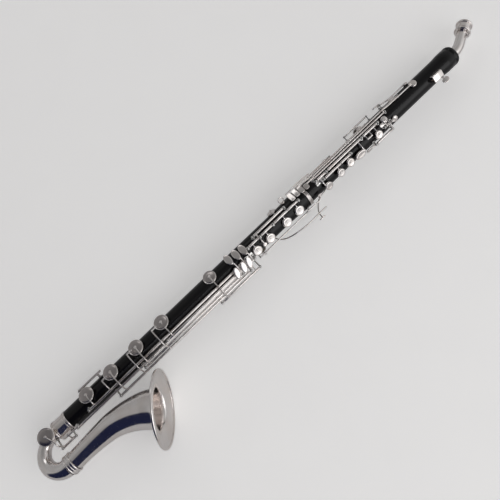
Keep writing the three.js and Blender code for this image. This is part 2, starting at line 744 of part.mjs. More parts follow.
function bellSolid() {
  const curve = bellCurve();
  const planeNormal = outward(frontTilt + quarterTurn);
  const front = outward(frontTilt - bellTurnDegrees);
  const axis = new THREE.Vector3(Math.cos(turn(bellTiltDegrees)), 0, 0)
    .addScaledVector(front, Math.sin(turn(bellTiltDegrees)));
  const ringAt = (share, radius) => {
    const lean = THREE.MathUtils.smoothstep(share, ...bellLeanShares);
    const ahead = curve.getTangentAt(share).lerp(axis, lean).normalize();
    const side = ahead.clone().cross(planeNormal).normalize();
    return { centre: curve.getPointAt(share), side, rise: side.clone().cross(ahead), radius };
  };
  const bodyShares = bellRadiusShares.map((radiusShare, index) => [
    (index / (bellRadiusShares.length - 1)) * bellBodyShare,
    bellStartRadius + radiusShare * (bellThroatRadius - bellStartRadius),
  ]);
  const flare = bellFlareShares.map(([share, grown]) => [
    share,
    bellThroatRadius + grown * (bellRimRadius - bellRimRoll - bellThroatRadius),
  ]);
  const outer = [...bodyShares, ...flare].map(([share, radius]) => ringAt(share, radius));
  const inner = [...bodyShares, ...flare].map(([share, radius]) => {
    const ring = ringAt(share, radius - sheetWall);
    ring.centre.addScaledVector(axis, share > bellBodyShare ? sheetWall : 0);
    return ring;
  });
  const rim = curve.getPointAt(1);
  const roll = bellRollShares.map(([out, forward]) => {
    const ring = ringAt(1, bellRimRadius - bellRimRoll + out * bellRimRoll);
    ring.centre = rim.clone().addScaledVector(axis, forward * bellRimRoll);
    return ring;
  });
  return shell([...outer.slice(0, -1), ...roll, ...inner.slice(0, -1).reverse()], bodySides);
}

// Bow: a short straight piece under the collar, then a half turn that widens towards the bell
const bowSteps = 12;

function bowCurve() {
  const start = -collarLength / 2 - fitGap;
  const points = [bellPoint(start, 0)];
  for (let i = 0; i <= bowSteps; i += 1) {
    const angle = turn((i / bowSteps) * halfTurn);
    const station = start - bowStraight - bowRadius * Math.sin(angle);
    points.push(bellPoint(station, bowRadius * (1 - Math.cos(angle))));
  }
  return new THREE.CatmullRomCurve3(points, false, 'centripetal');
}

function bowSolid() {
  const radii = Array.from({ length: bowSteps }, (_, i) => {
    const share = (i / (bowSteps - 1)) ** bowTaper;
    return bowStartRadius + (bowEndRadius - bowStartRadius) * share;
  });
  const skin = curvedTube(bowCurve(), radii, sheetWall, sheetSides);
  const foot = lowerAt(bowKeyShares.pad[0]);
  const top = bowKeyShares.pad[1] * bodyRadius - fitGap - padThickness - padRise - padGap;
  const chimney = bar(polar(foot, bowKeyShares.azimuth, bowStartRadius - sheetWall / 2),
    polar(foot, bowKeyShares.azimuth, top), bowStartRadius * 0.8, sheetSides);
  return skin.add(chimney);
}

function bowRingSolid() {
  const half = bowRingLength / 2;
  const middle = bowRingEnd - half;
  const inner = bowEndRadius + fitGap;
  const edge = bowRingRadius;
  const waist = (edge + inner) / 2;
  const bead = bowRingLength / 5;
  const corners = [
    [middle - half, inner], [middle - half, edge], [middle - half + bead, edge],
    [middle - half + bead * 1.4, waist], [middle + half - bead * 1.4, waist],
    [middle + half - bead, edge], [middle + half, edge], [middle + half, inner],
  ];
  return turned(corners, bodySides);
}

// Ferrule between the wood and the bow, with a bead at each end and a shoulder down to the bow's tube
function collarSolid() {
  const half = collarLength / 2;
  const inner = tenonRadius + fitGap;
  const bead = collarBeadWidth;
  const corners = [
    [-half, boreRadius], [-half, bodyRadius], [-half + bead * 0.4, collarBeadRadius],
    [-half + bead, collarBeadRadius], [-half + bead * 1.3, bodyRadius], [half - bead * 1.3, bodyRadius],
    [half - bead, collarBeadRadius], [half, collarBeadRadius], [half, inner],
    [-half + bead, inner], [-half + bead, boreRadius],
  ];
  return turned(corners, bodySides);
}

function lowerJointSolid() {
  const half = collarLength / 2;
  const socket = tenonRadius + fitGap;
  const corners = [
    [-half + collarBeadWidth + fitGap, boreRadius], [-half + collarBeadWidth + fitGap, tenonRadius],
    [half + fitGap, tenonRadius], [half + fitGap, bodyRadius], [lowerLength - socketFlare * 1.6, bodyRadius],
    [lowerLength - socketFlare * 0.9, (bodyRadius + socketRadius) / 2],
    [lowerLength - socketFlare * 0.5, socketRadius], [lowerLength, socketRadius], [lowerLength, socket],
    [lowerLength - tenonLength - fitGap, socket], [lowerLength - tenonLength - fitGap, boreRadius],
  ];
  const seats = [
    ...Object.values(lowKeyShares).map(({ pad, azimuth }) => [pad, azimuth, lowCupRadius * 0.6, seatHeight]),
    ...Object.values(rightPlateShares).map(({ pad }) => (
      [pad, rightStackShares.azimuth, plateRadius * 0.75, plateSeatHeight])),
    [sideKeyShares.pad, sideKeyShares.azimuth, plateRadius * 0.55, seatHeight],
    [frontLeverShares.pad, frontLeverShares.azimuth, plateRadius * 0.75, seatHeight],
    [longLeverShares.pad, longLeverShares.azimuth, plateRadius * 0.75, seatHeight],
  ].map(([share, azimuth, radius, height]) => seat(lowerAt(share), azimuth, radius, bodyRadius, height));
  return drilled(join(turned(corners, bodySides), ...seats), -collarLength / 2, lowerLength);
}

// The bore is cut again after the seats are joined, so that none of them reaches into it
function drilled(solid, from, to) {
  const along = new THREE.Vector3(1, 0, 0);
  const start = along.clone().multiplyScalar(from - overrun);
  const end = along.clone().multiplyScalar(to + overrun);
  return solid.subtract(bar(start, end, boreRadius, bodySides));
}

// Upper joint: tenon below, turned bulge with two grooves at the top around the neck's socket
function upperJointSolid() {
  const neckSocket = neckRadius + fitGap;
  const groove = fitGap * 2;
  const corners = [
    [jointStation - tenonLength, boreRadius], [jointStation - tenonLength, tenonRadius],
    [upperStart, tenonRadius], [upperStart, upperRadius], [topStation - topBulge * 1.5, upperRadius],
    [topStation - topBulge, topRadius], [topStation - topBulge * 0.42, topRadius],
    [topStation - topBulge * 0.38, topRadius - groove], [topStation - topBulge * 0.32, topRadius - groove],
    [topStation - topBulge * 0.28, topRadius], [topStation - topBulge * 0.12, topRadius * 0.96],
    [topStation, topRadius * 0.82], [topStation, neckSocket],
    [topStation - neckTenonDepth - fitGap, neckSocket], [topStation - neckTenonDepth - fitGap, boreRadius],
  ];
  const seats = [
    ...Object.values(leftPlateShares).map(({ pad, azimuth, radiusShare = 1 }) => (
      [pad, azimuth, leftPlateRadius * radiusShare * 0.75, leftSeatHeight])),
    ...Object.values(trillShares.keys).map(({ pad, azimuth, radius }) => (
      [pad, azimuth, radius * bodyRadius * 0.7, seatHeight])),
    ...Object.values(throatShares).map(({ pad, azimuth, radius }) => (
      [pad, azimuth, radius * bodyRadius * 0.7, seatHeight])),
    [thumbShares.pad, thumbShares.azimuth, leftPlateRadius * 0.75, plateSeatHeight],
    [registerShares.pad, registerShares.azimuth, registerShares.radius * bodyRadius * 0.7, seatHeight],
    [crossLeverShares.pad, crossLeverShares.azimuth, leftPlateRadius * 0.6, seatHeight],
  ].map(([share, azimuth, radius, height]) => seat(upperAt(share), azimuth, radius, upperRadius, height));
  return drilled(join(turned(corners, bodySides), ...seats), jointStation - tenonLength, topStation);
}

function jointRingSolid() {
  const start = jointStation + fitGap;
  const end = jointStation + jointRingLength;
  const bead = jointRingLength / 4;
  const corners = [
    [start, tenonRadius + fitGap], [start, jointRingRadius], [start + bead, jointRingRadius],
    [start + bead * 1.3, socketRadius], [end - bead * 1.3, socketRadius], [end - bead, jointRingRadius],
    [end, jointRingRadius], [end, tenonRadius + fitGap],
  ];
  return turned(corners, bodySides);
}

// Four side keys of the upper joint: thin parallel rods from a row of touches to pads up the body
const trillShares = {
  from: 0.0545, to: 0.731, start: 0.0462, plate: [98, 141], crest: 1.57, touchReach: 1.65, touchWidth: 0.265,
  keys: {
    trill_key_1: {
      line: [-0.905, 0.94], end: [-0.905, 0.94], tube: 0.181, pad: 0.1602, azimuth: 150, radius: 0.29,
      lever: 133, touch: -0.0827, face: 108, half: 0.6,
    },
    trill_key_2: {
      line: [-0.7, 1.105], end: [-0.7, 1.105], tube: 0.409, pad: 0.3868, azimuth: 147, radius: 0.31,
      lever: 122.5, touch: -0.0542, face: 104.5, half: 0.48,
    },
    trill_key_3: {
      line: [-0.49, 1.21], end: [-0.55, 1.185], tube: 0.6145, pad: 0.5945, azimuth: 134, radius: 0.36,
      lever: 113, touch: -0.0267, face: 100, half: 0.4,
    },
    trill_key_4: {
      line: [-0.24, 1.29], end: [-0.19, 1.3], tube: 0.515, pad: 0.7156, azimuth: 108, radius: 0.42,
      lever: 101, touch: 0.0012, face: 94, half: 0.29,
      arm: [[0.5135, -0.43, 1.44], [0.541, -0.4, 1.42], [0.62, -0.37, 1.34], [0.685, -0.37, 1.25]],
    },
  },
};

// Throat keys at the front of the upper joint
const throatShares = {
  throat_key_1: {
    line: [1.42, 0.36], tube: [0.3985, 0.4928], posts: [0.3904, 0.5009],
    pad: 0.4904, azimuth: 74.5, radius: 0.365,
    arm: [[0.4901, 1.56, 0.78], [0.4901, 1.24, 1.32], [0.4901, 0.66, 1.44]], root: 0.4901, lever: 0.402,
    bend: [[0.401, 1.48, 0.1], [0.393, 1.34, -0.04]], touch: [0.3686, 1.24, -0.05], half: 0.6, face: 18,
  },
  throat_key_2: {
    line: [0.93, 1], tube: [0.4761, 0.5041], posts: [0.468, 0.5122], pad: 0.5371, azimuth: 39, radius: 0.335,
    arm: [[0.505, 1.04, 1.25], [0.522, 1.12, 1.2]], root: 0.5005, lever: 0.48,
    bend: [[0.478, 0.82, 1.32]], touch: [0.456, 0.66, 1.46], half: 0.22, face: 66,
  },
};

const thumbShares = {
  line: [-1.41, 0.5], tube: [0.318, 0.4515], posts: [0.311, 0.4585], pad: 0.39, azimuth: 197,
  arm: [[-1.56, 0.1]],
};

const registerShares = {
  pad: 0.7035, azimuth: 157, radius: 0.29, hinge: 0.5375, reach: 1.44, half: 0.3,
  path: [[0.512, 1.55], [0.525, 1.5], [0.5375, 1.45], [0.56, 1.3], [0.6, 1.19], [0.66, 1.19]],
};

function trillLine({ line, end }) {
  return hingeLine(line, end, upperAt(trillShares.from), upperAt(trillShares.to));
}

// Closed cup of a small key on the upper joint
function roundCup({ pad, azimuth, radius }) {
  return closedCup(upperAt(pad), azimuth, upperRadius, radius * bodyRadius);
}

function trillKey(name, keyShares) {
  const line = trillLine(keyShares);
  const from = upperAt(trillShares.from);
  const to = upperAt(keyShares.tube);
  const crest = trillShares.crest * bodyRadius;
  const cup = roundCup(keyShares);
  const armBends = (keyShares.arm ?? []).map(([share, front, rise]) => spot(upperAt(share), [front, rise]));
  const armRoot = line(keyShares.arm ? to - armRadius : cup.top.x);
  const cupArm = arm([armRoot, ...armBends, cup.top.clone()], armRadius, armBends.length * 2 + 1);
  const root = line(from + armRadius);
  const touch = upperAt(keyShares.touch);
  const lever = arm([
    root,
    polar(root.x - armRadius / 4, keyShares.lever, crest - armRadius / 2),
    polar(root.x - armRadius * 3, keyShares.lever, crest),
    polar(touch + armRadius * 2, keyShares.lever, crest),
    polar(touch, (keyShares.lever + keyShares.face * 2) / 3, trillShares.touchReach * bodyRadius),
  ], armRadius, tubeSides - 1);
  const up = outward(keyShares.face);
  const base = polar(touch, keyShares.face, trillShares.touchReach * bodyRadius - touchThickness / 2);
  const width = bodyRadius * trillShares.touchWidth;
  const plate = tablet(base, up, new THREE.Vector3(1, 0, 0).cross(up), keyShares.half * bodyRadius, width);
  const sense = pressSense(line(cup.base.x), cup.base, false);
  return keyOn(name, line, from, to, sense, [cup.solid, cupArm, lever, plate], [], true);
}

function trillRods() {
  const start = upperAt(trillShares.start);
  const keys = Object.values(trillShares.keys);
  const step = smallBallRadius + endGap;
  const rods = keys.map((keyShares) => (
    rodWithPosts(trillLine(keyShares), [start, upperAt(keyShares.tube) + step], true)));
  return join(saddle(start, footRadius * 1.6, ...trillShares.plate, upperRadius), ...rods);
}

function throatKey(name, keyShares) {
  const line = hingeLine(keyShares.line);
  const [from, to] = keyShares.tube.map(upperAt);
  const cup = roundCup(keyShares);
  const armBends = keyShares.arm.map(([share, front, up]) => spot(upperAt(share), [front, up]));
  const cupArm = arm([line(upperAt(keyShares.root)), ...armBends, cup.top.clone()]);
  const bends = keyShares.bend.map(([share, front, up]) => spot(upperAt(share), [front, up]));
  const [share, front, up] = keyShares.touch;
  const tip = spot(upperAt(share), [front, up]);
  const lever = arm([line(upperAt(keyShares.lever)), ...bends, tip]);
  const face = outward(keyShares.face);
  const along = new THREE.Vector3(1, 0, 0);
  const base = tip.clone().addScaledVector(face, -touchThickness / 2);
  const touch = tablet(base, face, along, keyShares.half * bodyRadius, plateRadius * 0.34);
  const sense = pressSense(line(from), cup.base, false);
  return keyOn(name, line, from, to, sense, [cup.solid, cupArm, lever, touch]);
}

function thumbKey(name) {
  const line = hingeLine(thumbShares.line);
  const [from, to] = thumbShares.tube.map(upperAt);
  const base = plateBase(upperAt(thumbShares.pad), thumbShares.azimuth, upperRadius, plateSeatHeight);
  const up = outward(thumbShares.azimuth);
  const top = base.clone().addScaledVector(up, plateHeight * armDepthShare);
  const stem = arm([line(base.x), ...thumbShares.arm.map((share) => spot(base.x, share)), top]);
  const cup = disc(base, up, leftPlateRadius, plateHeight, sheetSides);
  const sense = pressSense(line(base.x), base, true);
  return keyOn(name, line, from, to, sense, [cup, stem], [], true);
}

// Register key: it rocks on a short rod across the body
function registerFrame() {
  const { azimuth, reach } = registerShares;
  const up = outward(azimuth);
  const hinge = polar(upperAt(registerShares.hinge), azimuth, reach * bodyRadius);
  const across = new THREE.Vector3(1, 0, 0).cross(up).normalize();
  return { up, hinge, across };
}

function registerKey(name) {
  const { up, hinge, across } = registerFrame();
  const half = registerShares.half * bodyRadius - smallBallRadius - endGap;
  const [from, to] = [-half, half].map((offset) => hinge.clone().addScaledVector(across, offset));
  const cup = roundCup(registerShares);
  const path = registerShares.path.map(([share, reach]) => (
    polar(upperAt(share), registerShares.azimuth, reach * bodyRadius)));
  const beam = arm([...path, cup.top], armRadius, tubeSides);
  const tip = path[0].clone().addScaledVector(up, -touchThickness / 2);
  const touch = disc(tip, up, plateRadius * 0.4, touchThickness, padSides, undefined, 1.15);
  const [start, end] = [-overrun, overrun].map((offset) => hinge.clone().addScaledVector(across, offset));
  const channel = bar(start, end, rodRadius + rodClearance, tubeSides);
  const solid = join(bar(from, to, tubeRadius, tubeSides), beam, touch, cup.solid).subtract(channel);
  return grouped(name, frameAt(hinge, up, across), [[name, solid, silver]]);
}

function registerPivot() {
  const { up, hinge, across } = registerFrame();
  const half = registerShares.half * bodyRadius;
  const ends = [-half, half].map((offset) => hinge.clone().addScaledVector(across, offset));
  const below = (registerShares.reach * bodyRadius) - upperRadius - fitGap;
  const footHalf = half + footRadius * 0.6;
  const legs = ends.map((end) => bar(end.clone().addScaledVector(up, -below), end, postRadius));
  const heads = ends.map((end) => ball(end, smallBallRadius));
  const plateCentre = hinge.clone().addScaledVector(up, footHeight / 2 - below);
  const plate = new THREE.BoxGeometry(footRadius * 2, footHalf * 2, footHeight);
  plate.applyMatrix4(frameAt(plateCentre, up));
  return join(bar(ends[0], ends[1], rodRadius), solidOf(plate), ...legs, ...heads);
}

// Lowest point of the bell's rim: the table, on which the left side's posts rest as well
const bellShell = bellSolid();
const tableLevel = bellShell.boundingBox().min[2];
const restLine = (station) => (
  new THREE.Vector3(station, -restLineFrontShare * bodyRadius, tableLevel + ballRadius));

function leverKey(name, line, leverShares, at, surface, radius, closes, thin = false) {
  const [from, to] = leverShares.tube.map(at);
  const station = at(leverShares.pad);
  const up = outward(leverShares.azimuth);
  const open = polar(station, leverShares.azimuth, surface + seatHeight + padGap + padRise);
  const base = closes ? open : closedCup(station, leverShares.azimuth, surface, radius).base;
  const cup = disc(base, up, radius, smallCupHeight, padSides);
  const top = base.clone().addScaledVector(up, smallCupHeight * armDepthShare);
  const cupArm = arm([line(station), ...leverShares.arm.map((share) => spot(station, share)), top]);
  const bends = leverShares.bend.map(([share, front, rise]) => spot(at(share), [front, rise]));
  const [share, front, rise] = leverShares.touch;
  const tip = spot(at(share), [front, rise]);
  const lever = arm([line(at(leverShares.lever)), ...bends, tip]);
  const face = outward(leverShares.face);
  const along = new THREE.Vector3(1, 0, 0);
  const plate = tip.clone().addScaledVector(face, -touchThickness / 2);
  const touch = tablet(plate, face, along, leverShares.half * bodyRadius, plateRadius * 0.34);
  const sense = pressSense(line(station), base, closes);
  return keyOn(name, line, from, to, sense, [cup, cupArm, lever, touch], [], thin);
}

// Neck: tenon in the upper joint's socket, a bend towards the back, and the receiver on its end
const neckSteps = 4;

function neckCurve() {
  const start = bellPoint(topStation - neckTenonDepth, 0);
  const bendStart = topStation + neckRadius / 2;
  const points = [start, bellPoint(topStation, 0), bellPoint(bendStart, 0)];
  for (let i = 1; i <= neckSteps; i += 1) {
    const angle = turn((neckBendDegrees * i) / neckSteps);
    points.push(bellPoint(bendStart + neckBend * Math.sin(angle), -neckBend * (1 - Math.cos(angle))));
  }
  const last = points[points.length - 1];
  points.push(last.clone().addScaledVector(neckDirection(), neckStraight));
  return new THREE.CatmullRomCurve3(points, false, 'centripetal');
}

function neckDirection() {
  const back = outward(frontTilt + halfTurn);
  return new THREE.Vector3(Math.cos(turn(neckBendDegrees)), 0, 0)
    .addScaledVector(back, Math.sin(turn(neckBendDegrees)));
}

function neckSolid() {
  return curvedTube(neckCurve(), new Array(neckSteps * 2).fill(neckRadius), sheetWall, sheetSides);
}

function receiverPlace() {
  return neckCurve().getPointAt(1).addScaledVector(neckDirection(), -receiverBeadWidth);
}

function receiverSolid() {
  const slip = neckRadius + fitGap;
  const bead = receiverBeadWidth;
  const upper = receiverLength * 0.7;
  const corners = [
    [0, slip], [0, receiverBeadRadius], [bead, receiverBeadRadius], [bead * 1.3, receiverRadius],
    [upper, receiverRadius], [upper + bead * 0.3, receiverBeadRadius],
    [upper + bead * 1.1, receiverBeadRadius], [upper + bead * 1.5, receiverRadius],
    [receiverLength, receiverRadius], [receiverLength, receiverBore],
    [bead * 1.6, receiverBore], [bead * 1.6, slip],
  ];
  const profile = [...corners, corners[0]].map(([height, radius]) => new THREE.Vector2(radius, height));
  const geometry = new THREE.LatheGeometry(profile, bodySides - postSides);
  geometry.rotateX(turn(quarterTurn));
  geometry.applyMatrix4(frameAt(receiverPlace(), neckDirection(), outward(frontTilt + quarterTurn)));
  return solidOf(geometry);
}

// Small eye soldered to the neck, below the receiver
function lugSolid() {
  const direction = neckDirection();
  const out = outward(frontTilt + lugTurnDegrees);
  const side = direction.clone().cross(out).normalize();
  const up = side.clone().cross(direction).normalize();
  const foot = receiverPlace().addScaledVector(direction, -lugRadius * 1.8)
    .addScaledVector(up, neckRadius - sheetWall / 2);
  const eye = foot.clone().addScaledVector(up, lugRadius + footHeight / 2);
  const half = side.clone().multiplyScalar(lugThickness / 2);
  const plate = bar(eye.clone().sub(half), eye.clone().add(half), lugRadius, padSides);
  const base = bar(foot, foot.clone().addScaledVector(up, footHeight), lugRadius * 0.8, tubeSides);
  const through = side.clone().multiplyScalar(lugThickness);
  const hole = bar(eye.clone().sub(through), eye.clone().add(through), lugHoleRadius, tubeSides);
  return join(plate, base).subtract(hole);
}

// Bar on two feet along the back edge of the lower joint
const guardShares = { station: 0.1455, azimuth: 146, reach: 1.5, feet: 0.34 };

function guardSolid() {
  const station = lowerAt(guardShares.station);
  const up = outward(guardShares.azimuth);
  const centre = polar(station, guardShares.azimuth, guardShares.reach * bodyRadius);
  const plate = new THREE.BoxGeometry(guardLength, guardWidth, guardThickness);
  plate.applyMatrix4(frameAt(centre, up));
  const feet = [-1, 1].map((sign) => {
    const foot = station + sign * guardShares.feet * guardLength;
    return bar(polar(foot, guardShares.azimuth, bodyRadius + fitGap),
      polar(foot, guardShares.azimuth, guardShares.reach * bodyRadius), postRadius * 1.3);
  });
  return join(solidOf(plate), ...feet);
}

// Ring for the player's strap, on a foot at the back edge
const strapShares = { station: 0.934, azimuth: 137 };

function strapRingSolid() {
  const station = lowerAt(strapShares.station);
  const up = outward(strapShares.azimuth);
  const across = new THREE.Vector3(1, 0, 0).cross(up);
  const base = surfaceAt(station + strapRingRadius) + fitGap;
  const centre = polar(station, strapShares.azimuth, base + footHeight + strapRingRadius);
  const ring = new THREE.TorusGeometry(strapRingRadius, strapWireRadius, armSides + 1, cupSides);
  ring.applyMatrix4(frameAt(centre, across));
  const foot = bar(polar(station, strapShares.azimuth, base),
    polar(station, strapShares.azimuth, base + footHeight), strapRingRadius * 0.8, padSides);
  const neck = bar(polar(station, strapShares.azimuth, base),
    polar(station, strapShares.azimuth, base + footHeight + strapWireRadius), strapWireRadius * 1.5);
  return join(solidOf(ring), foot, neck);
}

// Holder for a music clip, near the top, and its thumbscrew
const lyreShares = { station: 0.8195, azimuth: 52, screw: 0.8355, screwFront: 1.7, tipFront: 0.98 };

function lyreCentre() {
  return polar(upperAt(lyreShares.station), lyreShares.azimuth, upperRadius + fitGap + lyreHeight / 2);
}

function lyreScrewEnds() {
  const station = upperAt(lyreShares.screw);
  const lift = lyreCentre().z / bodyRadius;
  const at = (front) => spot(station, [front, lift]);
  return { head: at(lyreShares.screwFront), tip: at(lyreShares.tipFront) };
}

function lyreSolid() {
  const centre = lyreCentre();
  const up = outward(lyreShares.azimuth);
  const block = new THREE.BoxGeometry(lyreLength, lyreWidth, lyreHeight);
  block.applyMatrix4(frameAt(centre, up));
  const along = new THREE.Vector3(lyreLength, 0, 0);
  const hole = bar(centre.clone().sub(along), centre.clone().add(along), lyreHoleRadius, sheetSides);
  const { head, tip } = lyreScrewEnds();
  const thread = bar(head, tip, lyreScrewRadius + fitGap, padSides);
  return solidOf(block).subtract(hole).subtract(thread);
}

function lyreScrew(name) {
  const { head, tip } = lyreScrewEnds();
  const headPlate = new THREE.SphereGeometry(lyreHeadLength / 2, cupSides, tubeSides);
  headPlate.rotateX(turn(quarterTurn));
  headPlate.scale(1, lyreHeadWidth / lyreHeadLength, lyreHeadThickness / lyreHeadLength);
  headPlate.translate(head.x, head.y, head.z);
  const inward = tip.clone().sub(head).normalize();
  const neckStart = head.clone().addScaledVector(inward, lyreHeadWidth * 0.4);
  const neckEnd = head.clone().addScaledVector(inward, lyreHeadWidth * 0.55);
  const stem = bar(head, tip, lyreScrewRadius, tubeSides);
  const solid = join(solidOf(headPlate), bar(neckStart, neckEnd, lyreScrewRadius * 1.6, tubeSides), stem);
  const middle = head.clone().add(tip).multiplyScalar(0.5);
  const frame = frameAt(middle, outward(quarterTurn), head.clone().sub(tip).normalize());
  return grouped(name, frame, [[name, solid, silver]]);
}

// Body, rings, bow and bell
place('lower_joint', lowerJointSolid(), wood);
place('upper_joint', upperJointSolid(), wood);
place('joint_ring', jointRingSolid(), silver);
place('bell_collar', collarSolid(), silver);
place('bell_bow', bowSolid(), silver);
place('bell', bellShell, silver);

const bowRing = new THREE.Group();
bowRing.position.copy(outward(frontTilt).multiplyScalar(bowRadius * 2));
bowRing.add(meshOf('bow_ring', bowRingSolid(), silver));
horn.add(bowRing);

// Neck, in a group whose X axis is the line along which it draws out of its socket
const neck = new THREE.Group();
neck.name = 'neck_place';
neck.add(meshOf('neck_tube', join(neckSolid(), lugSolid()), silver));
neck.add(meshOf('mouthpiece_receiver', receiverSolid(), silver));
horn.add(neck);

// Fittings
place('guard_bar', guardSolid(), satin);
place('strap_ring', strapRingSolid(), silver);
place('lyre_socket', lyreSolid(), silver);
horn.add(lyreScrew('lyre_screw'));

// Low keys and their rods
place('low_key_rods', lowRods(), steel);
for (const [name, keyShares] of Object.entries(lowKeyShares)) horn.add(lowKey(name, keyShares));
horn.add(lowLever('low_lever'));
place('bow_key_rod', rodWithPosts(
  hingeLine(bowKeyShares.line),
  bowKeyShares.post.map(lowerAt),
), steel);
horn.add(bowKey('bow_key'));

// Right-hand stack and side key
const rightStack = hingeLine(rightStackShares.line);
place('right_stack_rod', rodWithPosts(rightStack, rightStackShares.posts.map(lowerAt)), steel);
for (const [name, { tube, pad }] of Object.entries(rightPlateShares)) {
  const station = lowerAt(pad);
  horn.add(plateKey(name, rightStack, tube.map(lowerAt), station, rightStackShares.azimuth, bodyRadius,
    plateSeatHeight, plateRadius));
}
place('right_side_rod', rodWithPosts(hingeLine(sideKeyShares.line), sideKeyShares.posts.map(lowerAt)), steel);
horn.add(sideKey('right_side_key'));

// Left little-finger levers
const frontLine = hingeLine(frontLeverShares.line);
place('front_lever_rod', rodWithPosts(frontLine, frontLeverShares.posts.map(lowerAt), true), steel);
horn.add(leverKey('front_lever', frontLine, frontLeverShares, lowerAt, bodyRadius, plateRadius, true, true));
place('long_lever_rod', rodWithPosts(restLine, longLeverShares.posts.map(lowerAt)), steel);
horn.add(leverKey('long_lever', restLine, longLeverShares, lowerAt, bodyRadius, plateRadius, true));
place('cross_lever_rod', rodWithPosts(restLine, crossLeverShares.posts.map(upperAt)), steel);
const crossCupRadius = leftPlateRadius * 0.85;
horn.add(leverKey('cross_lever', restLine, crossLeverShares, upperAt, upperRadius, crossCupRadius, false));

// Upper joint: side keys, left-hand stack, throat, thumb and register keys
place('trill_rods', trillRods(), steel);
for (const [name, keyShares] of Object.entries(trillShares.keys)) horn.add(trillKey(name, keyShares));
const backLine = hingeLine(leftStackShares.back);
const stackFront = hingeLine(leftStackShares.front);
place('left_stack_rods', leftStackRods(backLine, stackFront), steel);
for (const [name, plateShares] of Object.entries(leftPlateShares)) {
  const { line, tube, pad, azimuth, radiusShare = 1, stretch, bridge, stem } = plateShares;
  const hinge = line === 'back' ? backLine : stackFront;
  const extras = { stretch, bridge, stem: stem && upperAt(stem) };
  horn.add(plateKey(name, hinge, tube.map(upperAt), upperAt(pad), azimuth, upperRadius, leftSeatHeight,
    leftPlateRadius * radiusShare, extras));
}
for (const [name, keyShares] of Object.entries(throatShares)) {
  place(`${name}_rod`, rodWithPosts(hingeLine(keyShares.line), keyShares.posts.map(upperAt)), steel);
  horn.add(throatKey(name, keyShares));
}
place('thumb_rod', rodWithPosts(hingeLine(thumbShares.line), thumbShares.posts.map(upperAt), true), steel);
horn.add(thumbKey('thumb_key'));
place('register_pivot', registerPivot(), steel);
horn.add(registerKey('register_key'));

// Stand the horn on the table, with the middle of its length and width over the origin
const box = new THREE.Box3().setFromObject(horn, true);
horn.position.set(-(box.min.x + box.max.x) / 2, -(box.min.y + box.max.y) / 2, -box.min.z);
const bassetHorn = new THREE.Group();
bassetHorn.name = 'basset_horn';
bassetHorn.add(horn);

export default bassetHorn;
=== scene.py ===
"""Basset horn: its wood, silver plate, keywork and pads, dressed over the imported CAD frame."""
import math
from contextlib import contextmanager

import bmesh
import bpy
from bpy.props import FloatProperty, FloatVectorProperty, PointerProperty
from mathutils import Matrix, Vector


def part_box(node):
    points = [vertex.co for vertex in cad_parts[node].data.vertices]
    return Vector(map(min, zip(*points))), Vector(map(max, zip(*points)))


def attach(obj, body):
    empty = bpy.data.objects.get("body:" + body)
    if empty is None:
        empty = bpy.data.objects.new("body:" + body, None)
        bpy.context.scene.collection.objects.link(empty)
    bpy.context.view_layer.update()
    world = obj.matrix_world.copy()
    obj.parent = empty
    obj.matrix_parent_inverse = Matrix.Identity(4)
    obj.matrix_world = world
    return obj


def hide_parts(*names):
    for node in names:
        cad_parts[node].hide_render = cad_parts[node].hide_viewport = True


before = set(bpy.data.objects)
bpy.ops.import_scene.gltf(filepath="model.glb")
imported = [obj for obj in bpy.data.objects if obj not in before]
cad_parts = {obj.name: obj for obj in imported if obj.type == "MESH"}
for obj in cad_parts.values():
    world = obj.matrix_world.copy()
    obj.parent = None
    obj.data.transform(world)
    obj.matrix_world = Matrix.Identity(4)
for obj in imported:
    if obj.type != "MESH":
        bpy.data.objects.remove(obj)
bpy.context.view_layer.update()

bl_info = {
    "name": "Basset horn",
    "version": (1, 0, 0),
    "blender": (4, 5, 0),
    "location": "3D View > Sidebar > Basset horn",
    "description": "Builds a basset horn lying on a table, with its keywork, and a plain studio",
    "category": "Add Mesh",
}

# Lengths are millimetres in the body's own frame: X is the station along the body, from the collar's
# middle, and an azimuth of 0 degrees points to the front, 90 up from the table and 180 to the back.
MM = 0.001
COLLAR_LOW, COLLAR_HIGH = (Vector(corner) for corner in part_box("bell_collar"))
BODY_AXIS = (COLLAR_LOW + COLLAR_HIGH) / 2
PLACE = Matrix.Translation(BODY_AXIS) @ Matrix.Scale(MM, 4)
TABLE_LEVEL = -BODY_AXIS.z / MM
ALONG = Vector((1, 0, 0))

# Wooden body
BODY_RADIUS = 15.7
UPPER_RADIUS = 15.9
BORE_RADIUS = 7.6
LOWER_LENGTH = 502
UPPER_LENGTH = 331.7
LOWER_REACH = 505
UPPER_REACH = 334
SOCKET_RADIUS = 18.1
SOCKET_FLARE = 30
TENON_RADIUS = 13.1
TENON_LENGTH = 22
TOP_RADIUS = 16.7
TOP_BULGE = 24
FIT_GAP = 0.3
SMOOTH_GAP = 0.12
BODY_STEPS = 72

# Silvered rings
RING_LENGTH = 6.6
RING_RADIUS = 18.9
COLLAR_LENGTH = (COLLAR_HIGH.x - COLLAR_LOW.x) / MM
COLLAR_BEAD_RADIUS = 16.6
COLLAR_BEAD_WIDTH = 2.6
SHEET_WALL = 1.1
BEAD_STEPS = 8
RING_STEPS = 64

# Bow and bell
FRONT_TILT = 15
BOW_STRAIGHT = 10.5
BOW_RADIUS = 27.6
BOW_STEPS = 12
BOW_TAPER = 1.8
BOW_START_RADIUS = 9.3
BOW_END_RADIUS = 14.3
BOW_RING_LENGTH = 11
BOW_RING_RADIUS = 16.6
BELL_START_RADIUS = 14.4
BELL_THROAT_RADIUS = 30
BELL_RIM_RADIUS = 57.5
BELL_OFFSET = 92.4
BELL_REACH = 131.6
BELL_TILT = 35
BELL_TURN = 14
BELL_RIM_ROLL = 1.9

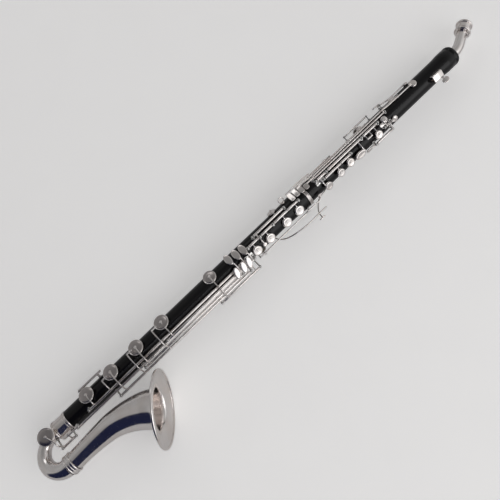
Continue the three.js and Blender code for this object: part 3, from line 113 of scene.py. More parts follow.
# Neck and receiver
NECK_RADIUS = 8.4
NECK_BEND = 35
NECK_BEND_DEGREES = 29
NECK_STRAIGHT = 26
NECK_TENON = 20
NECK_STEPS = 4
RECEIVER_LENGTH = 20
RECEIVER_RADIUS = 11.7
RECEIVER_BEAD_RADIUS = 13.4
RECEIVER_BORE = 9.9
RECEIVER_BEAD_WIDTH = 3.2
LUG_RADIUS = 3.6
LUG_THICKNESS = 2.6
LUG_TURN = 25
LUG_HOLE = 1.4

# Rods, posts and arms
ROD_RADIUS = 0.9
TUBE_RADIUS = 2.2
TUBE_BEAD_WIDTH = 1.5
THIN_ROD_RADIUS = 0.55
THIN_TUBE_RADIUS = 1.4
POST_RADIUS = 1.35
THIN_POST_RADIUS = POST_RADIUS * 0.75
BALL_RADIUS = 2.35
SMALL_BALL_RADIUS = BALL_RADIUS * 0.72
HEAD_SHARE = 0.58
HEAD_REACH = 0.94
ARM_RADIUS = 1.2
ARM_TAPER = 0.14
BAR_SOFTNESS = 0.18
FOOT_RADIUS = 2.9
FOOT_HEIGHT = 1.1
SADDLE_STEPS = 12
END_GAP = 0.35
POST_STEP = BALL_RADIUS + END_GAP

# Cups, pads and plates
SEAT_HEIGHT = 0.7
PLATE_SEAT_HEIGHT = 1.6
LEFT_SEAT_HEIGHT = 3.4
PAD_GAP = 0.35
LOW_CUP_RADIUS = 12.2
BOW_CUP_RADIUS = 13.5
CUP_HEIGHT = 2.7
PAD_THICKNESS = 1.9
PAD_RISE = 2.6
PAD_SHOW = 0.04
PLATE_RADIUS = 8.2
LEFT_PLATE_RADIUS = 7.1
SIDE_CUP_RADIUS = PLATE_RADIUS * 0.82
CROSS_CUP_RADIUS = LEFT_PLATE_RADIUS * 0.85
PLATE_HEIGHT = 3.3
PLATE_RISE = 1.7
SMALL_CUP_HEIGHT = 3.4
TOUCH_THICKNESS = 1.7
TABLET_WIDTH = PLATE_RADIUS * 0.68
TABLET_RIM = 0.28
ARM_DEPTH_SHARE = 0.6
BRIDGE_DEPTH = 8.5

# Seats of the tone holes, as shares of the cups' and plates' radii
SEAT_BORE = 0.66
LOW_SEAT = 0.6
PLATE_SEAT = 0.75
SMALL_SEAT = 0.7
SIDE_SEAT = 0.55
CROSS_SEAT = 0.6

# Fittings
GUARD_LENGTH = 45
GUARD_WIDTH = 7
GUARD_THICKNESS = 1.8
GUARD_FOOT_SHARE = 0.34
GUARD_POST_RADIUS = POST_RADIUS * 1.3
STRAP_RING_RADIUS = 4.4
STRAP_WIRE_RADIUS = 1
STRAP_WIRE_SIDES = 14
LYRE_LENGTH = 19
LYRE_WIDTH = 12
LYRE_HEIGHT = 9.5
LYRE_HOLE = 3.1
LYRE_SCREW_RADIUS = 1.3
LYRE_HEAD_LENGTH = 13.2
LYRE_HEAD_WIDTH = 10
LYRE_HEAD_THICKNESS = 2.4

JOINT_STATION = LOWER_LENGTH
UPPER_START = JOINT_STATION + RING_LENGTH + FIT_GAP
TOP_STATION = UPPER_START + UPPER_LENGTH
BOW_RING_END = -COLLAR_LENGTH / 2 - BOW_STRAIGHT + BOW_RING_LENGTH

# Keys of the lower joint: stations are shares of its reach, and places shares of the body's radius
LOW_KEYS = {
    "low_key_a": {
        "line": (0.898, 1.032), "tube": (0.099, 0.7257), "pad": 0.1182, "azimuth": 102, "arm": [(0.75, 1.47)],
        "lever": 0.7198, "row": "upper", "touch": 0.7162, "shift": 0.06, "bend": [(0.86, 1.47), (0.42, 1.88)],
        "link": (0.1822, [(0.9, 1.5), (0.4, 1.8), (-0.12, 1.82)], 0.0185),
    },
    "low_key_b": {
        "line": (1.828, 0.274), "tube": (0.1901, 0.7149), "pad": 0.2133, "azimuth": 101,
        "arm": [(1.72, 1.2), (1.1, 1.62)],
        "lever": 0.7081, "row": "lower", "touch": 0.7081, "shift": 0, "bend": [(1.87, 0.92), (1.72, 1.25)],
        "link": (0.285, [(1.85, 0.85), (1.5, 1.6), (0.8, 1.86), (-0.3, 1.86)], 0.0178),
    },
    "low_key_c": {
        "line": (1.548, 0.414), "tube": (0.299, 0.6891), "pad": 0.3149, "azimuth": 103,
        "arm": [(1.6, 1.2), (1.1, 1.62)],
        "lever": 0.6812, "row": "lower", "touch": 0.6812, "shift": -0.04, "bend": [(1.68, 0.9), (1.66, 1.2)],
        "link": (0.3835, [(1.62, 0.95), (1.4, 1.6), (0.8, 1.86), (-0.3, 1.86)], 0.0178),
    },
    "low_key_d": {
        "line": (1.258, 0.968), "tube": (0.402, 0.698), "pad": 0.419, "azimuth": 106, "arm": [(1.16, 1.5)],
        "lever": 0.6945, "row": "upper", "touch": 0.6895, "shift": -0.1, "bend": [(1.12, 1.5), (0.5, 1.89)],
    },
    "low_key_e": {
        "line": (2.102, -0.038), "tube": (0.5941, 0.7426), "pad": 0.6143, "azimuth": 102, "cup": 0.88,
        "arm": [(2.05, 0.9), (1.5, 1.58), (0.7, 1.66)],
        "lever": 0.7292, "row": "lower", "touch": 0.7292, "shift": 0.02, "bend": [(2.12, 0.6), (1.86, 1.15)],
    },
}
LOW_LEVER = {
    "line": (1.28, 0.656), "tube": (0.0395, 0.7475), "lever": 0.7448, "touch": 0.741, "shift": 0.16,
    "bend": [(1.27, 1.5), (0.6, 1.9)],
}
TOUCH_ROWS = {
    "upper": {"centre": (0, 1.98), "azimuth": 97, "length": 0.62, "width": 0.34, "lean": 0},
    "lower": {"centre": (1.38, 1.5), "azimuth": 52, "length": 0.62, "width": 0.29, "lean": -0.3},
}
BOW_KEY = {
    "line": (1.66, 0.5), "tube": (-0.032, 0.0089), "pad": (-0.0446, 1.42), "azimuth": 91, "crank": 0.003,
    "posts": (-0.0374, 0.0145), "arm": [(1.4, 1.4), (0.9, 1.62)], "tip": (1.083, 1.178),
    "finger": (1.3, 1.205),
}
LOW_PLATE_AZIMUTHS = (-8, 54)
RIGHT_STACK = {"line": (0.229, 1.318), "posts": (0.7576, 0.8084, 0.8627, 0.9695), "azimuth": 42}
RIGHT_PLATES = {
    "right_plate_1": {"tube": (0.763, 0.8022), "pad": 0.7747},
    "right_plate_2": {"tube": (0.8146, 0.8578), "pad": 0.8291},
    "right_plate_3": {"tube": (0.8677, 0.9225), "pad": 0.8992},
    "right_plate_4": {"tube": (0.9238, 0.9634), "pad": 0.9513},
}
SIDE_KEY = {
    "line": (-0.248, 1.312), "tube": (0.796, 0.9168), "posts": (0.7906, 0.9222), "pad": 0.8871,
    "azimuth": 144, "arm": [(-0.62, 1.36), (-1.05, 1.1)], "lever": 0.802,
    "bridge": [(-0.12, 1.66), (0.6, 1.76), (1.2, 1.42)], "face": 50,
}
FRONT_LEVER = {
    "line": (1.484, 0.127), "tube": (0.774, 0.9725), "posts": (0.7686, 0.978), "pad": 0.79, "azimuth": -60,
    "arm": [(1.5, -0.5), (1.2, -1.1)], "lever": 0.965,
    "bend": [(0.968, 1.49, 0.38), (0.985, 1.51, 0.4), (1.018, 1.53, 0.42), (1.0285, 1.42, 0.48)],
    "touch": (1.031, 1.24, 0.6), "half": 0.26, "face": 22,
}
LONG_LEVER = {
    "tube": (0.4673, 0.8871), "posts": (0.4594, 0.8951), "pad": 0.495, "azimuth": -68, "arm": [(0.35, -1.78)],
    "lever": 0.845,
    "bend": [
        (0.852, 0.8, -1.84), (0.868, 1.53, -1.3), (0.893, 1.98, -0.72), (0.925, 2.2, -0.5),
        (0.965, 2.31, -0.4),
    ],
    "touch": (0.999, 2.28, -0.36), "half": 0.9, "face": -9,
}
CROSS_LEVER = {
    "tube": (0.098, 0.2635), "posts": (0.0862, 0.2745), "pad": 0.235, "azimuth": -122,
    "arm": [(-0.8, -1.66), (-0.92, -1.3)], "lever": 0.107,
    "bend": [(0.092, 0.62, -1.62), (0.04, 0.88, -1.42), (0.006, 1.4, -1.3), (-0.02, 2.1, -1.06)],
    "touch": (-0.026, 2.72, -0.86), "half": 0.36, "face": -16,
}
REST_LINE_FRONT = -0.38

# Keys of the upper joint
LEFT_STACK = {
    "back": (0.12, 1.35), "front": (0.5, 1.23), "plate": (62, 90),
    "back_posts": (0.0534, 0.1195, 0.3497, 0.4564), "front_posts": (0.0877, 0.2638),
}
LEFT_PLATES = {
    "left_plate_4": {"line": "back", "tube": (0.0625, 0.1105), "pad": 0.0865, "azimuth": 33, "stem": 0.0728},
    "left_plate_3": {"line": "front", "tube": (0.0958, 0.1946), "pad": 0.169, "azimuth": 38},
    "left_plate_2": {"line": "front", "tube": (0.1967, 0.2547), "pad": 0.234, "azimuth": 42},
    "left_spoon": {
        "line": "back", "tube": (0.1285, 0.3395), "pad": 0.2965, "azimuth": 36, "size": 0.86,
        "stretch": 1.8, "stem": 0.321,
    },
    "left_plate_1": {
        "line": "back", "tube": (0.36, 0.4473), "pad": 0.4225, "azimuth": 44, "bridge": (0.366, 0.394),
    },
}
TRILL = {
    "from": 0.0545, "to": 0.731, "start": 0.0462, "plate": (98, 141), "crest": 1.57, "reach": 1.65,
    "width": 0.265,
}
TRILL_KEYS = {
    "trill_key_1": {
        "line": (-0.905, 0.94), "end": (-0.905, 0.94), "tube": 0.181, "pad": 0.1602, "azimuth": 150,
        "radius": 0.29, "lever": 133, "touch": -0.0827, "face": 108, "half": 0.6,
    },
    "trill_key_2": {
        "line": (-0.7, 1.105), "end": (-0.7, 1.105), "tube": 0.409, "pad": 0.3868, "azimuth": 147,
        "radius": 0.31, "lever": 122.5, "touch": -0.0542, "face": 104.5, "half": 0.48,
    },
    "trill_key_3": {
        "line": (-0.49, 1.21), "end": (-0.55, 1.185), "tube": 0.6145, "pad": 0.5945, "azimuth": 134,
        "radius": 0.36, "lever": 113, "touch": -0.0267, "face": 100, "half": 0.4,
    },
    "trill_key_4": {
        "line": (-0.24, 1.29), "end": (-0.19, 1.3), "tube": 0.515, "pad": 0.7156, "azimuth": 108,
        "radius": 0.42, "lever": 101, "touch": 0.0012, "face": 94, "half": 0.29,
        "arm": [(0.5135, -0.43, 1.44), (0.541, -0.4, 1.42), (0.62, -0.37, 1.34), (0.685, -0.37, 1.25)],
    },
}
THROAT_KEYS = {
    "throat_key_1": {
        "line": (1.42, 0.36), "tube": (0.3985, 0.4928), "posts": (0.3904, 0.5009), "pad": 0.4904,
        "azimuth": 74.5, "radius": 0.365, "root": 0.4901, "lever": 0.402,
        "arm": [(0.4901, 1.56, 0.78), (0.4901, 1.24, 1.32), (0.4901, 0.66, 1.44)],
        "bend": [(0.401, 1.48, 0.1), (0.393, 1.34, -0.04)], "touch": (0.3686, 1.24, -0.05), "half": 0.6,
        "face": 18,
    },
    "throat_key_2": {
        "line": (0.93, 1), "tube": (0.4761, 0.5041), "posts": (0.468, 0.5122), "pad": 0.5371,
        "azimuth": 39, "radius": 0.335, "root": 0.5005, "lever": 0.48,
        "arm": [(0.505, 1.04, 1.25), (0.522, 1.12, 1.2)],
        "bend": [(0.478, 0.82, 1.32)], "touch": (0.456, 0.66, 1.46), "half": 0.22, "face": 66,
    },
}
THUMB_KEY = {
    "line": (-1.41, 0.5), "tube": (0.318, 0.4515), "posts": (0.311, 0.4585), "pad": 0.39, "azimuth": 197,
    "arm": [(-1.56, 0.1)],
}
REGISTER_KEY = {
    "pad": 0.7035, "azimuth": 157, "radius": 0.29, "hinge": 0.5375, "reach": 1.44, "half": 0.3,
    "path": [(0.512, 1.55), (0.525, 1.5), (0.5375, 1.45), (0.56, 1.3), (0.6, 1.19), (0.66, 1.19)],
}
STRAP = {"station": 0.934, "azimuth": 137}
LYRE = {"station": 0.8195, "azimuth": 52, "screw": 0.8355, "head": 1.7, "tip": 0.98}
GUARD = {"station": 0.1455, "azimuth": 146, "reach": 1.5}

# Bell: places of its centre line, how its radius grows, and the roll of its rim
BELL_LINE = [(0.05, 0.59), (0.26, 0.59), (0.47, 0.612), (0.69, 0.708), (0.87, 0.845), (1, 1)]
BELL_RADII = [0, 0.03, 0.07, 0.13, 0.21, 0.31, 0.43, 0.57, 0.72, 0.87, 1]
BELL_FLARE = [(0.955, 0.06), (0.972, 0.2), (0.986, 0.47), (0.995, 0.8), (1, 1)]
BELL_ROLL = [(0, -0.9), (0.7, -0.6), (1, 0), (0.95, 0.6), (0.6, 1.1), (0, 1.3), (-0.6, 1.2), (-1, 0.9)]
BELL_BODY = 0.93
BELL_LEAN = (0.82, 0.95)

# Outside of the horn as (station, radius)
OUTER_PROFILE = [
    (-COLLAR_LENGTH, BOW_START_RADIUS), (-COLLAR_LENGTH / 2, BOW_START_RADIUS),
    (-COLLAR_LENGTH / 2, BODY_RADIUS), (LOWER_LENGTH - SOCKET_FLARE * 1.6, BODY_RADIUS),
    (LOWER_LENGTH - SOCKET_FLARE * 0.9, (BODY_RADIUS + SOCKET_RADIUS) / 2),
    (LOWER_LENGTH - SOCKET_FLARE * 0.5, SOCKET_RADIUS), (UPPER_START, SOCKET_RADIUS),
    (UPPER_START, UPPER_RADIUS), (TOP_STATION - TOP_BULGE * 1.5, UPPER_RADIUS),
    (TOP_STATION - TOP_BULGE, TOP_RADIUS), (TOP_STATION, TOP_RADIUS),
]

# Turned profiles as (radius share, height share)
CUP_PROFILE = [
    (0, 0), (0.96, 0), (1, 0.1), (1, 0.42), (0.98, 0.56), (0.93, 0.7), (0.84, 0.82), (0.68, 0.91),
    (0.45, 0.97), (0.2, 1), (0, 1),
]
PLATE_PROFILE = [
    (0, 0), (0.94, 0), (1, 0.12), (1, 0.5), (0.98, 0.68), (0.93, 0.84), (0.85, 0.95), (0.76, 1),
    (0.66, 0.99), (0.5, 0.93), (0.28, 0.88), (0, 0.86),
]
PAD_PROFILE = [(0, 0), (0.9, 0), (0.97, 0.12), (1, 0.35), (1, 0.75), (0.97, 1), (0, 1)]
RIM_PROFILE = [
    (0, 0), (0.985, 0), (1, 0.25 / CUP_HEIGHT), (1, 0.42), (0.99, 0.52), (0.965, 0.58), (0.93, 0.56),
    (0.9, 0.5), (0, 0.5),
]
DOME_PROFILE = [(0, 0.52), (0.905, 0.52), (0.86, 0.68), (0.74, 0.82), (0.56, 0.92), (0.3, 0.98), (0, 1)]
SEAT_PROFILE = [(1, 0.55), (0.94, 1), (0.82, 1), (SEAT_BORE * 1.06, 0.8), (SEAT_BORE, 0.5)]
FOOT_PROFILE = [(0, 0), (0.92, 0), (1, 0.25), (1, 0.7), (0.86, 1)]

# Bead at a tube's end as (share of its width along the tube, radius share)
TUBE_BEAD = [(0, 0.86), (0.2, 1), (0.8, 1), (1, 0.86), (1.15, 0.9)]

# Swell to the socket and bulge at the top, as (radius, length below the end in shares of their own length)
SOCKET_SWELL = [(BODY_RADIUS, 1.6), ((BODY_RADIUS + SOCKET_RADIUS) / 2, 0.76), (SOCKET_RADIUS, 0.36)]
TOP_GROOVE = TOP_RADIUS - FIT_GAP * 2
TOP_TURNING = [
    (UPPER_RADIUS, 1.5), (UPPER_RADIUS + 0.12, 1.34), (UPPER_RADIUS + 0.55, 1.14), (TOP_RADIUS, 1),
    (TOP_RADIUS, 0.42), (TOP_GROOVE, 0.38), (TOP_GROOVE, 0.32), (TOP_RADIUS, 0.28),
    (TOP_RADIUS * 0.99, 0.2), (TOP_RADIUS * 0.96, 0.12), (TOP_RADIUS * 0.9, 0.04), (TOP_RADIUS * 0.82, 0),
]

# Studio, in metres
CAMERA_PLACE = Vector((-102.67, -171.15, 872.34)) * MM
CAMERA_UP = Vector((0.68964, 0.68533, 0.23392))
CAMERA_BACK = Vector((-0.07611, -0.25264, 0.96456))
LENS = 40.32
SENSOR = 36
FLOOR_GLOW = 0.3
LAMPS = [
    ("key lamp", (0.35, -1.6, 1.15), (2.4, 1.3), 1.0),
    ("strip lamp", (0.14, -0.88, 1.55), (1.8, 0.05), 0.22),
    ("back lamp", (0.4, 1.5, 1.3), (0.9, 0.5), 0.16),
]

# Surroundings as (direction, stops): how bright they are along a direction, from -1 behind it to 1 ahead
SIDE_LIGHT = ((0.1, -0.98, 0.1), [(-1.0, 0.3), (-0.2, 0.4), (0.35, 0.62), (0.8, 0.86), (1.0, 0.92)])
OVERHEAD = ((0.0, 0.0, 1.0), [(-1.0, 1.0), (0.55, 1.0), (0.86, 0.6), (1.0, 0.5)])
DARK_PANEL = ((-0.73, -0.46, 0.505), [(-1.0, 0.0), (0.66, 0.0), (0.73, 1.0), (1.0, 1.0)])
PANEL_TONE = (0.012, 0.015, 0.04, 1)
BRIGHTEST = 1.25


def outward(degrees):
    """Direction away from the body's axis at an azimuth."""
    angle = math.radians(degrees)
    return Vector((0, -math.cos(angle), math.sin(angle)))


def polar(station, degrees, reach):
    place = outward(degrees) * reach
    place.x = station
    return place


def spot(station, shares):
    """Spot beside the body, from its shares of the body's radius to the front and up."""
    front, up = shares
    return Vector((station, -front * BODY_RADIUS, up * BODY_RADIUS))


def lower_at(share):
    return share * LOWER_REACH


def upper_at(share):
    return LOWER_REACH + RING_LENGTH + FIT_GAP + share * UPPER_REACH


def stations_of(at, shares):
    return [at(share) for share in shares]


def spots_at(station, places):
    return [spot(station, place) for place in places]


def spots_along(at, bends):
    """Spots of bends that each name a station too, as (station share, front, up)."""
    return [spot(at(share), place) for share, *place in bends]


def scaled(profile, radius, height):
    return [(share * radius, rise * height) for share, rise in profile]


def surface_at(station):
    """Radius of the horn's outside at a station."""
    for (low, low_radius), (high, high_radius) in zip(OUTER_PROFILE, OUTER_PROFILE[1:]):
        if low <= station < high:
            return low_radius + (station - low) / (high - low) * (high_radius - low_radius)
    return TOP_RADIUS


def frame_at(point, up, along=ALONG):
    """Frame at a point whose Z axis is the given direction and whose X axis lies near the second."""
    z = up.normalized()
    y = z.cross(along).normalized()
    x = y.cross(z)
    return Matrix.Translation(point) @ Matrix((x, y, z)).transposed().to_4x4()


def hinge_line(start, end=None, low=0, high=1):
    """Straight line beside the body, as a function of the station."""
    first = Vector(start)
    last = Vector(end or start)

    def place(station):
        return spot(station, first.lerp(last, (station - low) / (high - low)))

    return place


class Curve:
    """Smooth centripetal curve through points, measured along its length."""

    def __init__(self, points, fine=24):
        ends = [points[0] * 2 - points[1], *points, points[-1] * 2 - points[-2]]
        self.points = []
        for a, b, c, d in zip(ends, ends[1:], ends[2:], ends[3:]):
            self.points += [self.between(a, b, c, d, step / fine) for step in range(fine)]
        self.points.append(points[-1])
        self.lengths = [0]
        for before, after in zip(self.points, self.points[1:]):
            self.lengths.append(self.lengths[-1] + (after - before).length)

    @staticmethod
    def between(a, b, c, d, share):
        t0 = 0
        t1 = t0 + math.sqrt((b - a).length)
        t2 = t1 + math.sqrt((c - b).length)
        t3 = t2 + math.sqrt((d - c).length)
        t = t1 + (t2 - t1) * share
        ab = a.lerp(b, (t - t0) / (t1 - t0))
        bc = b.lerp(c, (t - t1) / (t2 - t1))
        cd = c.lerp(d, (t - t2) / (t3 - t2))
        abc = ab.lerp(bc, (t - t0) / (t2 - t0))
        bcd = bc.lerp(cd, (t - t1) / (t3 - t1))
        return abc.lerp(bcd, (t - t1) / (t2 - t1))

    def at(self, share):
        goal = share * self.lengths[-1]
        last = len(self.lengths) - 1
        high = next((i for i, length in enumerate(self.lengths) if length >= goal and i), last)
        low_length = self.lengths[high - 1]
        part = (goal - low_length) / (self.lengths[high] - low_length)
        return self.points[high - 1].lerp(self.points[high], part)

    def heading(self, share):
        step = 0.5 / len(self.points)
        return (self.at(min(share + step, 1)) - self.at(max(share - step, 0))).normalized()


def section(point, ahead, side, radius):
    """Frame of a round section: its circle is drawn in the frame's XY plane."""
    basis = Matrix((side, ahead.cross(side), ahead)).transposed().to_4x4()
    return Matrix.Translation(point) @ basis @ Matrix.Diagonal((radius, radius, 1, 1))


def round_edges(verts):
    return list({edge for vert in verts for edge in vert.link_edges})


def drawn_out(bm, edges):
    """Corners and edges of the new ring that a ring of edges is drawn out to."""
    made = bmesh.ops.extrude_edge_only(bm, edges=edges)["geom"]
    verts = [item for item in made if isinstance(item, bmesh.types.BMVert)]
    fresh = set(verts)
    return verts, [
        item for item in made if isinstance(item, bmesh.types.BMEdge) and set(item.verts) <= fresh
    ]


def rise_of(edge):
    return abs(edge.verts[0].co.z - edge.verts[1].co.z)


class Shape:
    """A bmesh in the body's own millimetres, finished as an object that rides on a body."""

    def __init__(self):
        self.bm = bmesh.new()

    def fresh(self, before):
        """Corners made since the given ones."""
        return [vert for vert in self.bm.verts if vert not in before]

    @contextmanager
    def placed(self, place):
        """What is made inside is built about the origin and then moved to the place."""
        before = set(self.bm.verts)
        yield
        bmesh.ops.transform(self.bm, matrix=place, verts=self.fresh(before))

    def loft(self, sections, sides=14, closed=False):
        """Round skin from section to section, closed on itself or with flat ends."""
        ring = bmesh.ops.create_circle(self.bm, segments=sides, radius=1, matrix=sections[0])["verts"]
        first = edges = round_edges(ring)
        for before, after in zip(sections, sections[1:]):
            ring, edges = drawn_out(self.bm, edges)
            bmesh.ops.transform(self.bm, matrix=after @ before.inverted(), verts=ring)
        if closed:
            bmesh.ops.bridge_loops(self.bm, edges=first + edges)
        else:
            bmesh.ops.contextual_create(self.bm, geom=first)
            bmesh.ops.contextual_create(self.bm, geom=edges)

    def bar(self, start, end, radius, sides=14):
        """Round bar with softened ends."""
        ahead = (end - start).normalized()
        side = ahead.orthogonal().normalized()
        ease = ahead * min(radius * BAR_SOFTNESS, (end - start).length / 4)
        narrow = radius * (1 - BAR_SOFTNESS)
        stops = ((start, narrow), (start + ease, radius), (end - ease, radius), (end, narrow))
        self.loft([section(point, ahead, side, size) for point, size in stops], sides)

    def arm(self, points, radius=ARM_RADIUS):
        """Arm that bends smoothly through its points and is a little stouter at its root."""
        curve = Curve(points)
        steps = 4 * len(points)
        side = curve.heading(0).orthogonal().normalized()
        sections = []
        for step in range(steps + 1):
            share = step / steps
            ahead = curve.heading(share)
            side = (side - ahead * side.dot(ahead)).normalized()
            sections.append(section(curve.at(share), ahead, side, radius * (1 - ARM_TAPER * share)))
        self.loft(sections, 12)

    def turned(self, profile, place, steps=32, closed=False):
        """Profile of (radius, height) pairs spun about the place's Z axis."""
        with self.placed(place):
            before = set(self.bm.verts)
            verts = [self.bm.verts.new((radius, 0, height)) for radius, height in profile]
            edges = [self.bm.edges.new(pair) for pair in zip(verts, verts[1:])]
            if closed:
                edges.append(self.bm.edges.new((verts[-1], verts[0])))
            bmesh.ops.spin(
                self.bm, geom=verts + edges, cent=(0, 0, 0), axis=(0, 0, 1), angle=math.tau, steps=steps,
                use_merge=True,
            )
            bmesh.ops.remove_doubles(self.bm, verts=self.fresh(before), dist=MM)

    def disc(self, point, up, radius, height, profile=CUP_PROFILE, along=ALONG, stretch=1, steps=40):
        place = frame_at(point, up, along) @ Matrix.Diagonal((stretch, 1, 1, 1))
        self.turned(scaled(profile, radius, height), place, steps)

    def ball(self, point, radius):
        bmesh.ops.create_uvsphere(
            self.bm, u_segments=18, v_segments=10, radius=radius, matrix=Matrix.Translation(point),
        )

    def tablet(self, place, length, width, thickness=TOUCH_THICKNESS, corner=0.6):
        """Flat finger plate with round corners and a soft rim, its base on the place."""
        with self.placed(place @ Matrix.Translation((0, 0, thickness / 2))):
            before = set(self.bm.edges)
            size = Matrix.Diagonal((length, width, thickness, 1))
            bmesh.ops.create_cube(self.bm, size=1, matrix=size)
            made = [edge for edge in self.bm.edges if edge not in before]
            upright = [edge for edge in made if rise_of(edge) > thickness / 2]
            self.rounded(upright, min(length, width) / 2 * corner, 5)
            made = [edge for edge in self.bm.edges if edge not in before]
            self.rounded([edge for edge in made if rise_of(edge) < MM], thickness * TABLET_RIM, 3)

    def rounded(self, edges, offset, segments):
        bmesh.ops.bevel(
            self.bm, geom=edges, offset=offset, segments=segments, profile=0.5, affect="EDGES", material=-1,
        )

    def post(self, point, ball_radius, stem):
        """Turned post: a foot on the body, a waisted stem and a ball round the rod."""
        across = Vector((0, point.y, point.z))
        out = across.normalized()
        base = surface_at(point.x) + FIT_GAP
        height = across.length - base
        profile = [
            *scaled(FOOT_PROFILE, FOOT_RADIUS * stem / POST_RADIUS, FOOT_HEIGHT),
            (stem * 1.25, FOOT_HEIGHT * 1.2), (stem, min(FOOT_HEIGHT * 2, height * 0.7)), (stem, height),
            (0, height),
        ]
        self.turned(profile, frame_at(out * base + ALONG * point.x, out), 18)
        self.ball(point, ball_radius)

    def rod(self, line, stations, thin=False):
        """Pivot rod with a post at each station and a small round head at each end."""
        head = SMALL_BALL_RADIUS if thin else BALL_RADIUS
        first, last = line(stations[0]), line(stations[-1])
        self.bar(first, last, THIN_ROD_RADIUS if thin else ROD_RADIUS)
        for station in stations:
            self.post(line(station), head, THIN_POST_RADIUS if thin else POST_RADIUS)
        ahead = (last - first).normalized() * head * HEAD_REACH
        self.bar(first, first - ahead, head * HEAD_SHARE)
        self.bar(last, last + ahead, head * HEAD_SHARE)

    def saddle(self, station, length, azimuths, surface):
        """Curved base plate that lies on the body."""
        inner = surface + FIT_GAP
        outer = inner + FOOT_HEIGHT
        near = station - length / 2
        far = station + length / 2
        start, end = azimuths
        before = set(self.bm.verts)
        verts = [
            self.bm.verts.new(polar(along, start, radius))
            for along, radius in ((near, inner), (far, inner), (far, outer), (near, outer))
        ]
        face = self.bm.faces.new(verts)
        bmesh.ops.spin(
            self.bm, geom=[face, *face.edges, *verts], cent=(0, 0, 0), axis=ALONG,
            angle=-math.radians(end - start), steps=SADDLE_STEPS,
        )
        bmesh.ops.remove_doubles(self.bm, verts=self.fresh(before), dist=MM)

    def finish(self, name, body="horn", slot="silver_plate", node=None, sharp=38):
        """Closes the shape up as an object on a body, which may stand for a CAD node."""
        bmesh.ops.recalc_face_normals(self.bm, faces=self.bm.faces)
        bmesh.ops.transform(self.bm, matrix=PLACE, verts=self.bm.verts)
        mesh = bpy.data.meshes.new(name)
        self.bm.to_mesh(mesh)
        self.bm.free()
        mesh.shade_smooth()
        mesh.set_sharp_from_angle(angle=math.radians(sharp))
        piece = bpy.data.objects.new(name, mesh)
        bpy.context.scene.collection.objects.link(piece)
        mesh.materials.append(finish_of(slot))
        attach(piece, body)
        if node:
            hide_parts(node)

    def close_up(self, node, body="horn", slot="silver_plate", sharp=38):
        """Finishes the shape that stands for one CAD node."""
        self.finish(f"fine_{node}", body, slot, node, sharp)


# Finishes

def add_node(tree, kind, sockets=None, **settings):
    """New node with its settings, and its sockets set or linked."""
    node = tree.nodes.new(kind)
    for key, value in settings.items():
        setattr(node, key, value)
    for name, value in (sockets or {}).items():
        if isinstance(value, bpy.types.NodeSocket):
            tree.links.new(value, node.inputs[name])
        else:
            node.inputs[name].default_value = value
    return node


def mixed(tree, factor, first, second, **settings):
    """Mix of two colours by a factor, each a value or a socket."""
    sockets = {0: factor, 6: first, 7: second}
    return add_node(tree, "ShaderNodeMix", sockets, data_type="RGBA", **settings).outputs[2]


def tone(colour, share=1.0):
    return (*(channel * share for channel in colour), 1)


class Coat:
    """A new material's shader, and patterns in the horn's own space."""

    def __init__(self, name):
        self.material = bpy.data.materials.new(name)
        self.material.use_nodes = True
        self.tree = self.material.node_tree
        self.shader = self.tree.nodes["Principled BSDF"]
        self.space = add_node(self.tree, "ShaderNodeTexCoord").outputs["Object"]

    def grain(self, scale, detail=4, stretch=(1, 1, 1), roughness=0.55):
        """Noise with so many cells in a metre, stretched along the horn where asked."""
        mapped = add_node(self.tree, "ShaderNodeMapping", {"Vector": self.space, "Scale": stretch})
        sockets = {
            "Vector": mapped.outputs["Vector"], "Scale": scale, "Detail": detail, "Roughness": roughness,
        }
        return add_node(self.tree, "ShaderNodeTexNoise", sockets).outputs["Fac"]

    def ramp(self, factor, stops):
        """Colours along a factor, from (position, colour) stops."""
        node = add_node(self.tree, "ShaderNodeValToRGB", {"Fac": factor})
        elements = node.color_ramp.elements
        while len(elements) < len(stops):
            elements.new(0.5)
        for element, (position, colour) in zip(elements, stops):
            element.position = position
            element.color = colour
        return node.outputs["Color"]

    def between(self, factor, low, high):
        """Value from low to high as a noise goes from its usual least to its usual most."""
        sockets = {"Value": factor, "From Min": 0.3, "From Max": 0.7, "To Min": low, "To Max": high}
        return add_node(self.tree, "ShaderNodeMapRange", sockets).outputs["Result"]

    def painted_crevice_shade(self, colour, depth, shade):
        """Darkens the colour with painted shade where the surface is shut in by its neighbours."""
        around = add_node(self.tree, "ShaderNodeAmbientOcclusion", {"Distance": depth}, samples=6)
        dark = self.ramp(around.outputs["AO"], [(0.1, tone(shade)), (0.75, (1, 1, 1, 1))])
        return mixed(self.tree, 1, colour, dark, blend_type="MULTIPLY")

    def bump(self, height, depth, strength=1.0, under=None):
        """Relief of a pattern, over the relief of another one where that is given."""
        sockets = {"Height": height, "Distance": depth, "Strength": strength}
        if under:
            sockets["Normal"] = under
        return add_node(self.tree, "ShaderNodeBump", sockets).outputs["Normal"]

    def wear(self, colour, roughness, normal, **constants):
        """Joins the patterns to the shader; what is the same all over is set on its own socket."""
        for name, pattern in (("Base Color", colour), ("Roughness", roughness), ("Normal", normal)):
            self.tree.links.new(pattern, self.shader.inputs[name])
        for name, value in constants.items():
            self.shader.inputs[name.replace("_", " ")].default_value = value
        return self.material


def looks():
    return bpy.context.scene.horn_looks


